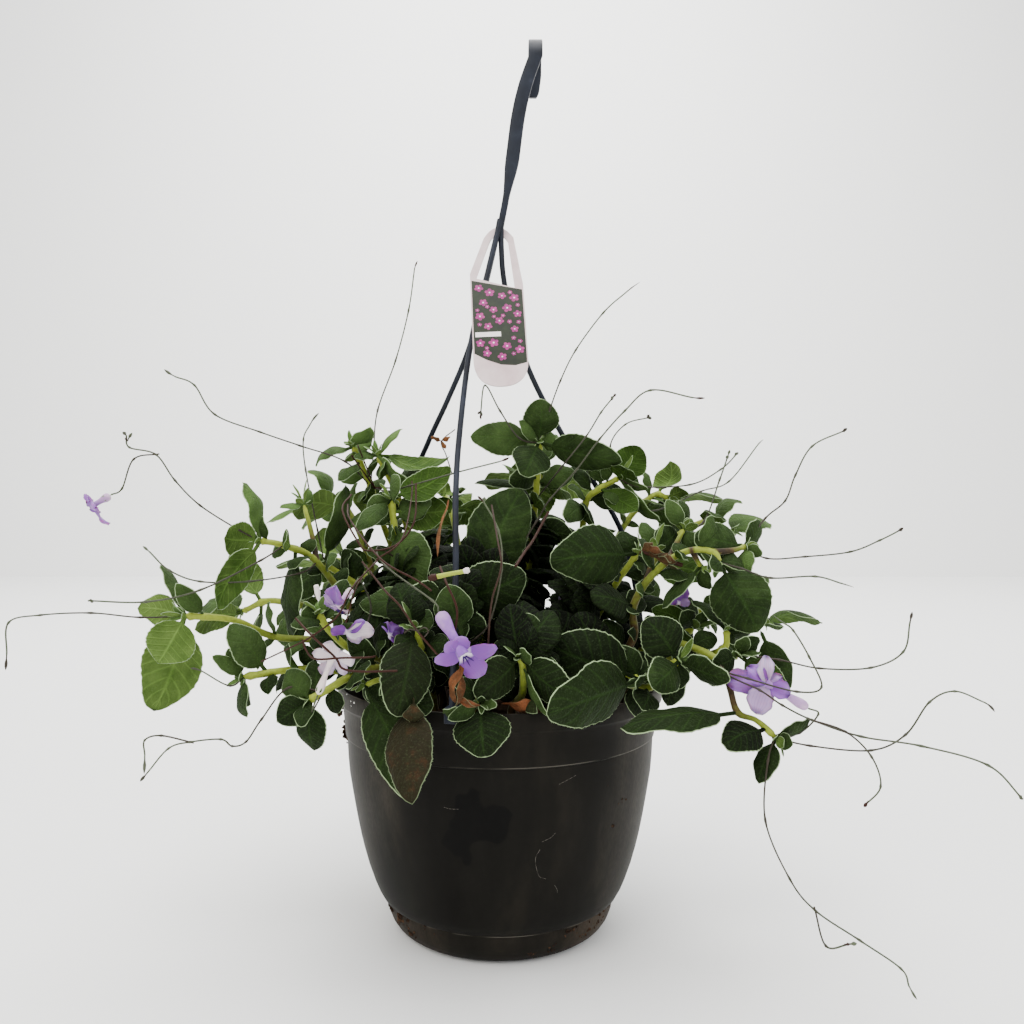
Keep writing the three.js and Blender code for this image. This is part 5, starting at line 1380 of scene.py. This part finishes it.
# Dried and curled leaves, and a few fresh ones: foot, tip, width, turn, arch, dryness
scraps = [
    ([-18, -126, 192], [-24, -126, 170], 7, 50, 4, 1.0),
    ([-20, -127, 190], [-22, -127, 168], 5, -40, 3, 0.9),
    ([-24, -124, 172], [-9, -122, 168], 3.5, 0, 2, 0.95),
    ([-23, -125, 176], [-11, -123, 167], 3, 40, 2, 0.85),
    ([-31, -60, 280], [-35, -95, 247], 4, 60, 3, 1.0),
    ([-46, -118, 170], [-46, -119, 157], 10, 0, 5, 0.62),
    ([3, -99, 164], [25, -103, 165], 8, 20, 4, 1.0),
    ([85, -72, 249], [92, -74, 255], 6, 0, 3, 0.8),
    ([88, -72, 251], [97, -76, 248], 6, 40, 3, 0.78),
    ([91, -74, 248], [106, -77, 243], 6, 30, 3, 0.76),
    ([94, -72, 249], [102, -80, 243], 5, -40, 3, 0.72),
    ([88, -72, 253], [96, -80, 249], 5, 10, 2, 0.84),
    ([98, -72, 246], [108, -75, 239], 4, 80, 2, 0.7),
    ([-39, -12, 320], [-46, -14, 323], 3, 0, 1, 1.0),
    ([-39, -12, 320], [-33, -14, 323], 3, 0, 1, 1.0),
    ([-39, -12, 320], [-36, -14, 315], 3, 0, 1, 1.0),
    ([-30, -108, 161], [-22, -114, 165], 9, 20, 5, 0.0),
    ([161, -58, 199], [176, -62, 163], 19, 35, 4, 0.0),
    ([-20, -110, 205], [-27, -114, 233], 22, 0, 3, 0.0),
    ([18, -100, 166], [22, -110, 161], 9, 20, 4, 0.3),
]
# Flowers that are half hidden among the leaves: throat, way that they face, and lobes as angle, length, width
# and paleness
hiddenFlowers = [
    ([-84, -110, 206], [-0.3, 0.9, 0.3], [(84, 15, 0.42, 0.78), (52, 12, 0.24, 0.0), (122, 9, 0.4, 0.5),
                                         (-70, 10, 0.34, 0.0)]),
    ([-64, -84, 201], [0.5, -0.7, 0.4], [(60, 12, 0.45, 0.0), (118, 11, 0.42, 0.0), (10, 9, 0.4, 0.0)]),
    ([110, -60, 217], [-0.2, -0.9, 0.2], [(14, 12, 0.4, 0.0), (-60, 8, 0.4, 0.0), (80, 7, 0.4, 0.2)]),
    ([47, -30, 217], [0.2, 0.9, 0.2], [(60, 11, 0.42, 0.5), (-8, 12, 0.4, 0.4), (-80, 9, 0.42, 0.5)]),
]
scrapLeaves = []
for foot, tip, width, turn, arch, dryness in scraps:
    leaf = leafFrame(np.array(foot, float), np.array(tip, float), width, turn, arch, plantRule["front"])
    leaf["dry"], leaf["shade"] = dryness, 0.2 if dryness < 0.5 else 0.3
    leaf["crumple"] = 0.14 if dryness > 0.5 else 0
    scrapLeaves.append(leaf)
routes = [(samplesAlong(np.array(points, float), 24), np.full(25, radius), np.full(25, tone))
          for radius, tone, points in dryTwigs]
twigPieces = [tubesPiece("twigs", routes, 1, wiryStalk), leavesPiece("scraps", scrapLeaves, growDraw, False)]
# A green style that has lost its flower, brown at its foot, and a closed bud further left
style = np.array([[-33, -126, 238], [-26, -126.6, 239.6], [-18, -127, 241]], float)
twigPieces.append(tubesPiece("style", [(style, np.array([1.4, 1.2, 1.2]), np.zeros(3))], 2, fleshyStem))
ends = [(np.array([[-37, -126, 237], [-35, -126, 237.6], [-32.5, -126, 238.2]]), np.array([1.2, 2.1, 1.6]),
         np.full(3, 1.0))]
twigPieces.append(tubesPiece("styleFoot", ends, 2, wiryStalk))
pale = [(np.array([[-18.5, -127, 240.9], [-16.5, -127, 241.5], [-15, -127, 242]]), np.array([1.1, 1.7, 1.2]),
         np.zeros(3)),
        (np.array([[-98, -118, 225], [-98.4, -119, 229], [-99, -120, 233]]), np.array([0.8, 1.6, 1.3]),
         np.zeros(3))]
twigPieces.append(tubesPiece("paleEnds", pale, 2, lilacTube))
finishPiece(joinPieces("dryTwigs", twigPieces), "foliage")
hidden = {"bare": 0.06, "crumple": 0.14, "rim": 0.5}
lobes = []
for throat, way, rows in hiddenFlowers:
    face = unit(np.array(way, float))
    upward = unit(up - face * up.dot(face))
    aside = np.cross(upward, face) * (1 if way[1] < 0 else -1)
    lobes += [(np.array(throat, float), face, upward, aside, (angle, length, width), paleness, hidden["bare"],
               hidden["crumple"], hidden["rim"]) for angle, length, width, paleness in rows]
finishPiece(lobesPiece("hiddenFlowers", lobes, growDraw), "flower")
print("flowers and dry twigs done")

# Pot and saucer: rings drawn up from a disc, as on a lathe

potLook = {"sides": 144, "rim": plantRule["rimRadius"], "rimFoot": 149.5, "collar": 128, "saucer": 76,
           "lip": 21.2, "smoothTo": 38}
r, foot, collar = potLook["rim"], potLook["rimFoot"], potLook["collar"]
potRings = [(61.4, 2.2), (73.6, 21.3), (78.6, 21.9), (79.2, 22.3), (82.1, 27.4), (84.5, 33), (88.2, 43.5),
            (91.2, 54), (93.6, 64), (95.8, 75), (97.6, 85), (99.3, 95), (100.6, 103), (101.5, 113),
            (102.2, collar - 0.9), (103, collar - 0.5), (103.2, collar + 0.2), (104.2, 138),
            (r - 3, foot - 2.8), (r - 2.2, foot - 1.2), (r - 0.4, foot), (r, foot + 0.7), (r, 158.8),
            (r - 0.3, 159.7), (r - 1, 160), (r - 1.8, 159.7), (r - 2.2, 159), (103.7, 146), (101, 128),
            (98.4, 103), (92.6, 70), (80.8, 30), (59.2, 4.4)]
s, lip = potLook["saucer"], potLook["lip"]
saucerRings = [(58, 0), (62, 0.3), (65.2, 0.9), (68, 2), (70.6, 4), (73, 7.5), (74.8, 12), (75.7, 16.5),
               (s, lip - 0.7), (s, lip - 0.2), (s - 0.3, lip), (s - 1.3, lip), (s - 1.6, lip - 0.3),
               (70.8, 8.4), (62.5, 1.8)]


def turnRings(name, rings, material):
    deselectAll()
    bpy.ops.mesh.primitive_circle_add(vertices=potLook["sides"], radius=rings[0][0] * mm, fill_type="NGON",
                                      location=(0, 0, rings[0][1] * mm))
    piece = bpy.context.object
    bpy.ops.object.transform_apply(location=True)
    bpy.ops.object.mode_set(mode="EDIT")
    bpy.ops.mesh.select_all(action="SELECT")
    for (radius, z), (nextRadius, nextZ) in zip(rings, rings[1:]):
        bpy.ops.mesh.extrude_region_move(TRANSFORM_OT_translate={"value": (0, 0, (nextZ - z) * mm)})
        scale = nextRadius / radius
        bpy.ops.transform.resize(value=(scale, scale, 1), center_override=(0, 0, nextZ * mm))
    bpy.ops.mesh.select_all(action="SELECT")
    bpy.ops.mesh.normals_make_consistent(inside=False)
    bpy.ops.object.mode_set(mode="OBJECT")
    bpy.ops.object.shade_smooth_by_angle(angle=math.radians(potLook["smoothTo"]))
    piece.name = piece.data.name = name
    piece.data.materials.append(material)
    return piece


finishPiece(turnRings("hangingPot", potRings, potPlastic), "pot", "pot")

# Fine pale scratches on the front of the wall: azimuth from the front, and height
scratches = [
    [(19.6, 88), (18, 85.5), (15, 83.5)],
    [(14.4, 79), (13, 74), (13.4, 68), (14.8, 62), (17.2, 60)],
    [(21, 55), (22, 52.6), (22.6, 50)],
    [(20, 117), (22.5, 118.6), (26, 121)],
    [(-18, 104), (-16, 103.4), (-13, 103.6)],
]


def onWall(azimuth, z):
    radii, heights = zip(*potRings[2:17])
    return atAzimuth(math.radians(azimuth), np.interp(z, heights, radii), z)


scratchRoutes = [(np.array([onWall(*place) for place in samplesAlong(np.array(row, float), 16)]),
                  0.08 + 0.06 * np.sin(np.arange(17) * 1.7), np.full(17, 0.5)) for row in scratches]
finishPiece(tubesPiece("scratches", scratchRoutes, 0, paleScratch), "pot")
finishPiece(turnRings("clippedSaucer", saucerRings, saucerPlastic), "saucer", "saucer")

# Peat: a low mound with crumbs strewn on it, and lumps stuck on the pot's left side, its wall and the saucer.
# Each group of lumps has its azimuth, distance from the axis, height, spread and number.

soilLook = {
    "rings": [(57.6, 4.9), (59.4, 5.2), (80, 30), (91.8, 70), (100.3, 128), (101.6, 138.6), (99.6, 140.2),
              (94, 141.2), (88, 142), (82, 142.6), (75, 143), (67, 143.4), (58, 143.7), (49, 143.9),
              (40, 144), (31, 144.1), (22, 144.2), (13, 144.2), (5, 144.2)],
    "crumbs": 260,
    "grains": 16,
    "crumbSize": (0.8, 3.2),
    "strewnTo": 96,
    "stuck": [(-88, 103.4, 131, 9, 14), (-84, 102.6, 122, 5, 5), (-83, 107.6, 153, 5, 5),
              (-80, 105, 146, 4, 4), (-56, 75.2, 15, 9, 8), (-48, 74.2, 11, 6, 6), (16, 72.6, 8, 4, 7),
              (27, 73.6, 9, 6, 7), (45, 74.6, 12, 7, 8), (54, 75, 14, 7, 7), (40, 100.9, 111, 1, 1),
              (48.5, 99.6, 98, 5, 4), (44.5, 97.4, 84, 2, 2), (-86, 107.8, 143, 12, 12),
              (-86, 104.6, 128, 8, 8), (-52, 76.4, 19.6, 14, 12), (-70, 76.4, 19.6, 10, 10),
              (-30, 76.2, 20, 14, 5), (48, 76.4, 19.8, 20, 18), (34, 76, 17, 5, 10),
              (66, 76.2, 18.6, 12, 12)],
}


deselectAll()
bpy.ops.mesh.primitive_ico_sphere_add(subdivisions=2, radius=1)
crumbPoints, crumbFaces = takeMesh()


# Lumps of the same grain, each turned, stretched and dented in its own way
def lumpsPiece(name, places, material, draw):
    parts, flat = [], np.zeros((len(crumbPoints), 2))
    for centre, size in places:
        turn = np.array(Matrix.Rotation(draw(0, 6.28), 3, Vector((draw(-1, 1), draw(-1, 1), 1))))
        dents = 1 + 0.22 * np.sin(crumbPoints @ np.array([draw(2, 4), draw(2, 4), draw(2, 4)]) + draw(0, 6))
        stretch = np.array([draw(0.7, 1.3), draw(0.6, 1.1), draw(0.5, 0.9)])
        points = centre + (crumbPoints * dents[:, None] * stretch * size / 2) @ turn.T
        parts.append((points, crumbFaces, flat, np.tile([draw(0.1, 0.9), 0, 0], (len(points), 1))))
    return buildParts(name, parts, material)


soilDraw = makeDraw(611)
mound = turnRings("peatMound", soilLook["rings"], peat)
for vertex in mound.data.vertices:
    x, y, z = vertex.co / mm
    if z > 141:
        vertex.co.z += (0.9 * math.sin(x * 0.21 + y * 0.13) + 0.6 * math.sin(y * 0.37 - x * 0.11)) * mm
crumbs = []
for i in range(soilLook["crumbs"]):
    angle, radius = soilDraw(0, 6.283), soilLook["strewnTo"] * math.sqrt(soilDraw(0, 1))
    size = soilDraw(*soilLook["crumbSize"])
    crumbs.append((np.array([radius * math.sin(angle), radius * math.cos(angle), 142.4 + size * 0.3]), size))
strewn = lumpsPiece("crumbs", crumbs, peat, soilDraw)
finishPiece(joinPieces("peat", [mound, strewn]), "soil", "soil")
stuck = []
for azimuth, radius, z, spread, count in soilLook["stuck"]:
    for i in range(count):
        angle = math.radians(azimuth + soilDraw(-1, 1) * spread * 0.6)
        high = z + soilDraw(-1, 1) * spread * 0.45
        reach = radius + (high - z) * (0.06 if z > 40 else 0.3)
        size = soilDraw(1.2, 3.6) if azimuth < 0 else soilDraw(0.8, 2.4)
        stuck.append((atAzimuth(angle, reach, high), size))
finishPiece(lumpsPiece("stuckPeat", stuck, peat, soilDraw), "soil")
perlite = makeMoulded("perliteGrain", [(0.3, "#d8d6cf"), (0.7, "#efeee9")], 3 * mm, 0.9, 0.1 * mm)
grains = []
for i in range(soilLook["grains"]):
    angle, high = math.radians(soilDraw(-82, -52)), soilDraw(146, 160)
    reach = potLook["rim"] - 0.2 if high > potLook["rimFoot"] else 104.8
    grains.append((atAzimuth(angle, reach, high), soilDraw(0.5, 1.5)))
finishPiece(lumpsPiece("perliteSpecks", grains, perlite, soilDraw), "soil")
print("pot, saucer and peat done")

# Hanger: flat strap that narrows to the neck and turns over backwards, three round legs, and three clips on
# the rim

hangerLook = {"strapWidth": 9.5, "neckWidth": 4.6, "thickness": 3.4, "hookRadius": 15, "legRadius": 1.9,
              "tipDrop": 15, "clip": (7, 9.5, 9), "edge": 0.7}
hookTop = np.array([24.0, 0, 583])
strapPoints = np.array([(0, 0, 466), (4, 0, 487), (8, 0, 511), (12, 0, 541), (17, 0, 563), hookTop], float)


def strapFrames():
    frames = []
    arc = math.pi * hangerLook["hookRadius"]
    for i in range(61):
        share = i / 60
        wide = min(max((share - 0.18) / 0.24, 0), 1)
        wide = wide * wide * (3 - 2 * wide)
        half = (hangerLook["neckWidth"] + (hangerLook["strapWidth"] - hangerLook["neckWidth"]) * wide) / 2
        frames.append((curvePoint(strapPoints, share), np.array(plantRule["front"], float), half))
    for i in range(1, 49):
        travelled = i / 48 * (arc + hangerLook["tipDrop"])
        angle = min(travelled, arc) / hangerLook["hookRadius"]
        drop = max(0, travelled - arc)
        turned = np.array([-0.08 * drop, hangerLook["hookRadius"] * (1 - math.cos(angle)),
                           hangerLook["hookRadius"] * math.sin(angle) - drop])
        outward = np.array([0, -math.cos(angle), math.sin(angle)])
        taper = 1 - 0.35 * max(0, (i - 44) / 4) ** 2
        frames.append((hookTop + turned, outward, (hangerLook["strapWidth"] / 2 - drop * 0.05) * taper))
    return frames


def strapPiece():
    edge, deep = hangerLook["edge"], hangerLook["thickness"] / 2
    points, faces = [], []
    for centre, outward, half in strapFrames():
        section = [(half, deep - edge), (half - edge * 0.3, deep - edge * 0.3), (half - edge, deep)]
        corners = [(s * x, t * y) for s, t in ((1, 1), (-1, 1), (-1, -1), (1, -1))
                   for x, y in (section if s == t else section[::-1])]
        points += [centre + np.array([x, 0, 0]) + outward * y for x, y in corners]
    around = 12
    rows = len(points) // around
    for row in range(rows - 1):
        for i in range(around):
            j = (i + 1) % around
            faces.append([row * around + i, row * around + j, (row + 1) * around + j, (row + 1) * around + i])
    faces += [list(range(around))[::-1], [(rows - 1) * around + i for i in range(around)]]
    count = len(points)
    return buildMesh("strap", points, faces, np.zeros((count, 2)), np.zeros((count, 3)), hangerPlastic)


# Section of a clip in the plane through the pot's axis, drawn out sideways and softened
def clipPiece(azimuth):
    wide, deep, high = hangerLook["clip"]
    middle, top = plantRule["rimRadius"] - 1.1, plantRule["potHeight"] + 3.4
    rim, under = plantRule["rimRadius"] + 0.3, plantRule["potHeight"] + 0.3
    inner, outer, inside, foot = middle - deep / 2, middle + deep / 2, middle - 2.6, top - high
    section = [(inner, foot), (inside, foot), (inside, under), (rim, under), (rim, foot), (outer, foot),
               (outer, top), (inner, top)]
    angle = math.radians(azimuth)
    out, aside = atAzimuth(angle, 1, 0), np.array([math.cos(angle), math.sin(angle), 0])
    points = [out * x + up * z + aside * side * wide / 2 for side in (-1, 1) for x, z in section]
    count = len(section)
    faces = [[i, (i + 1) % count, (i + 1) % count + count, i + count] for i in range(count)]
    faces += [[7, 2, 1, 0], [7, 6, 3, 2], [6, 5, 4, 3], [8, 9, 10, 15], [10, 11, 14, 15], [11, 12, 13, 14]]
    piece = buildMesh("clip", points, faces, np.zeros((16, 2)), np.zeros((16, 3)), hangerPlastic)
    setActive(piece)
    bpy.ops.object.modifier_add(type="BEVEL")
    piece.modifiers[0].width = hangerLook["edge"] * mm
    piece.modifiers[0].segments = 3
    bpy.ops.object.modifier_apply(modifier=piece.modifiers[0].name)
    return piece


legRoutes = []
for name in hangerRoutes:
    points = samplesAlong(legPoints(name), 90)
    radii = np.full(91, hangerLook["legRadius"])
    radii[:4] = (2.4, 2.3, 2.1, 2.0)
    legRoutes.append((points, radii, np.zeros(91)))
legs = tubesPiece("legs", legRoutes, 4, hangerPlastic)
clips = [clipPiece(azimuth) for azimuth in legAzimuths.values()]
finishPiece(joinPieces("forkedHanger", [strapPiece(), legs, *clips]), "hanger", "hanger")
print("hanger done")

# Care label: thin tag that hangs by its loop, with a printed picture of blossoms on a green ground

labelLook = {
    "place": (-1.6, -19.6, 412),
    "lean": 65,
    "roll": 3,
    "thick": 0.9,
    "round": 0.15,
    "ground": [(-16.6, 16.5), (-16.6, -42), (-9, -47), (0, -51), (9, -52), (16.6, -50), (16.6, 7.5)],
    "strip": [(-15.5, -25.6), (-15.5, -29.2), (1, -29.2), (1, -25.6)],
    "blossoms": [(-12, 10, 3), (-5, 6, 3.3), (3, 3, 2.8), (11, 1, 3.2), (-9.5, -2, 2.9), (6, -7, 3.3),
                 (-3, -8, 2.7), (12.5, -12, 2.8), (-12, -13, 3.2), (0.5, -17, 3), (-7, -21, 2.8),
                 (10, -24, 2.6), (-12.5, -34, 3), (-4, -34, 3.3), (4.5, -37, 3), (12.5, -40, 3.1),
                 (-8.5, -42, 2.8), (1, -45, 3), (-7, -5.5, 1.5), (8.5, 5.5, 1.6), (13, -5, 1.5),
                 (-13.5, -8, 1.4), (3, -13, 1.5), (7, -18, 1.6), (-12.5, -19.5, 1.5), (13, -18.5, 1.6),
                 (-3, -13.5, 1.4), (9, -31, 1.6), (-8.5, -38, 1.4), (8.5, -43, 1.5), (13, -33.5, 1.6)],
}
tagPlastic = makeMoulded("printedTagPlastic", [(0.3, "#bda4a6"), (0.7, "#d6c6c4")], 20 * mm, 0.32, 0.01 * mm)
greenInk = makeMoulded("greenInk", [(0.3, "#0f150a"), (0.7, "#212913")], 6 * mm, 0.35, 0.01 * mm)
magentaInk = makeMoulded("magentaInk", [(0.3, "#74125a"), (0.7, "#a8307e")], 3 * mm, 0.35, 0.01 * mm)
paleInk = makeMoulded("paleInk", [(0.3, "#e4dcd8"), (0.7, "#f2ece8")], 6 * mm, 0.35, 0.01 * mm)


# A flat shape, drawn in the tag's own plane and placed as the tag hangs
def flatPiece(name, outlines, low, high, softness, material):
    curve = bpy.data.curves.new(name, "CURVE")
    curve.dimensions = "2D"
    curve.fill_mode = "BOTH"
    curve.extrude = (high - low) / 2 * mm - softness * mm
    curve.bevel_depth = softness * mm
    curve.bevel_resolution = 1
    for corners in outlines:
        spline = curve.splines.new("POLY")
        spline.points.add(len(corners) - 1)
        spline.use_cyclic_u = True
        for target, (x, y) in zip(spline.points, corners):
            target.co = (x * mm, y * mm, 0, 1)
    piece = addObject(name, curve)
    setActive(piece)
    bpy.ops.object.convert(target="MESH")
    bpy.ops.object.mode_set(mode="EDIT")
    bpy.ops.mesh.select_all(action="SELECT")
    bpy.ops.mesh.remove_doubles(threshold=1e-6)
    bpy.ops.mesh.normals_make_consistent(inside=False)
    bpy.ops.object.mode_set(mode="OBJECT")
    lift = Matrix.Translation((0, 0, (low + high) / 2 * mm))
    turn = (Matrix.Translation(Vector(labelLook["place"]) * mm)
            @ Matrix.Rotation(math.radians(labelLook["lean"]), 4, "X")
            @ Matrix.Rotation(math.radians(labelLook["roll"]), 4, "Z"))
    piece.data.transform(turn @ lift)
    piece.data.materials.clear()
    piece.data.materials.append(material)
    return piece


def bend(start, middle, end, count):
    return [tuple(np.array(start) * (1 - t) ** 2 + np.array(middle) * 2 * t * (1 - t) + np.array(end) * t * t)
            for t in np.arange(1, count + 1) / count]


half = 17.3
outer = [(-half, 22), (-half, -46), *bend((-half, -46), (-half, -67), (0, -67), 12),
         *bend((0, -67), (half, -67), (half, -46), 12), (half, 12), (13, 52),
         *bend((13, 52), (3, 70), (-7, 52), 14)]
inner = [(-13.5, 18), (12, 9), (9.5, 48), *bend((9.5, 48), (3, 62), (-3.5, 48), 12)]
thick = labelLook["thick"]
tagPieces = [flatPiece("tag", [outer, inner], 0, thick, labelLook["round"], tagPlastic),
             flatPiece("ground", [labelLook["ground"]], thick - 0.1, thick + 0.03, 0, greenInk),
             flatPiece("strip", [labelLook["strip"]], thick, thick + 0.06, 0, paleInk)]
for x, y, size in labelLook["blossoms"]:
    petals = []
    for i in range(60):
        angle = i * 2 * math.pi / 60
        radius = size * (0.56 + 0.44 * abs(math.cos(2.5 * angle)) ** 0.7)
        petals.append((x + radius * math.sin(angle + x), y + radius * math.cos(angle + x)))
    centre = [(x + size * 0.17 * math.sin(i * 0.52), y + size * 0.17 * math.cos(i * 0.52)) for i in range(12)]
    tagPieces.append(flatPiece("blossom", [petals], thick, thick + 0.06, 0, magentaInk))
    tagPieces.append(flatPiece("blossomEye", [centre], thick, thick + 0.09, 0, paleInk))
finishPiece(joinPieces("careTag", tagPieces), "care_label", "care_label")
print("care label done")

# Floor, backdrop, light and camera

stageLook = {"floor": "#f4f4f2", "reach": 6.0, "wallPlace": (0, 3.2, 0), "world": "#ffffff",
             "worldStrength": 1.42}
floorPaint = newMaterial("paleFloor")
floorShader = addNode(floorPaint, "BsdfPrincipled", {"Base Color": toLinear(stageLook["floor"]),
                                                     "Roughness": 0.8})
addNode(floorPaint, "OutputMaterial", {0: floorShader})
deselectAll()
bpy.ops.mesh.primitive_plane_add(size=2 * stageLook["reach"], location=(0, 0, 0))
floor = bpy.context.object
floor.name = "floor"
floor.data.materials.append(floorPaint)
deselectAll()
bpy.ops.mesh.primitive_plane_add(size=2 * stageLook["reach"], location=stageLook["wallPlace"],
                                 rotation=(math.pi / 2, 0, 0))
wall = bpy.context.object
wall.name = "backdrop"
bpy.ops.object.transform_apply(rotation=True)
wall.data.materials.append(floorPaint)

world = bpy.data.worlds.new("softStudio")
bpy.context.scene.world = world
world.use_nodes = True
background = world.node_tree.nodes["Background"]
background.inputs[0].default_value = toLinear(stageLook["world"])
background.inputs[1].default_value = stageLook["worldStrength"]

lights = {
    "key": {"place": (-0.9, -1.1, 1.3), "aim": (0, 0, 0.25), "size": 1.0, "power": 12, "colour": "#fffaf2"},
    "fill": {"place": (1.2, -1.0, 0.8), "aim": (0, 0, 0.25), "size": 1.2, "power": 5, "colour": "#f4f8ff"},
    "top": {"place": (0.0, -0.2, 1.6), "aim": (0, 0, 0.3), "size": 1.0, "power": 22, "colour": "#ffffff"},
    "wallWash": {"place": (0, 1.4, 2.6), "aim": (0, 3.2, 0.7), "size": 2.4, "power": 150,
                 "colour": "#ffffff"},
}
for name, values in lights.items():
    lamp = bpy.data.lights.new(name, "AREA")
    lamp.size = values["size"]
    lamp.energy = values["power"]
    lamp.color = toLinear(values["colour"])[:3]
    lampObject = addObject(name, lamp)
    way = Vector(values["aim"]) - Vector(values["place"])
    lampObject.location = values["place"]
    lampObject.rotation_euler = way.to_track_quat("-Z", "Y").to_euler()

cameraData = bpy.data.cameras.new("camera")
cameraData.sensor_width = 36
cameraData.lens = 36 * 900 / 1024
camera = addObject("camera", cameraData)
camera.location = (0.0079, -0.611, 0.273)
camera.rotation_euler = (math.pi / 2, 0, 0)
bpy.context.scene.camera = camera
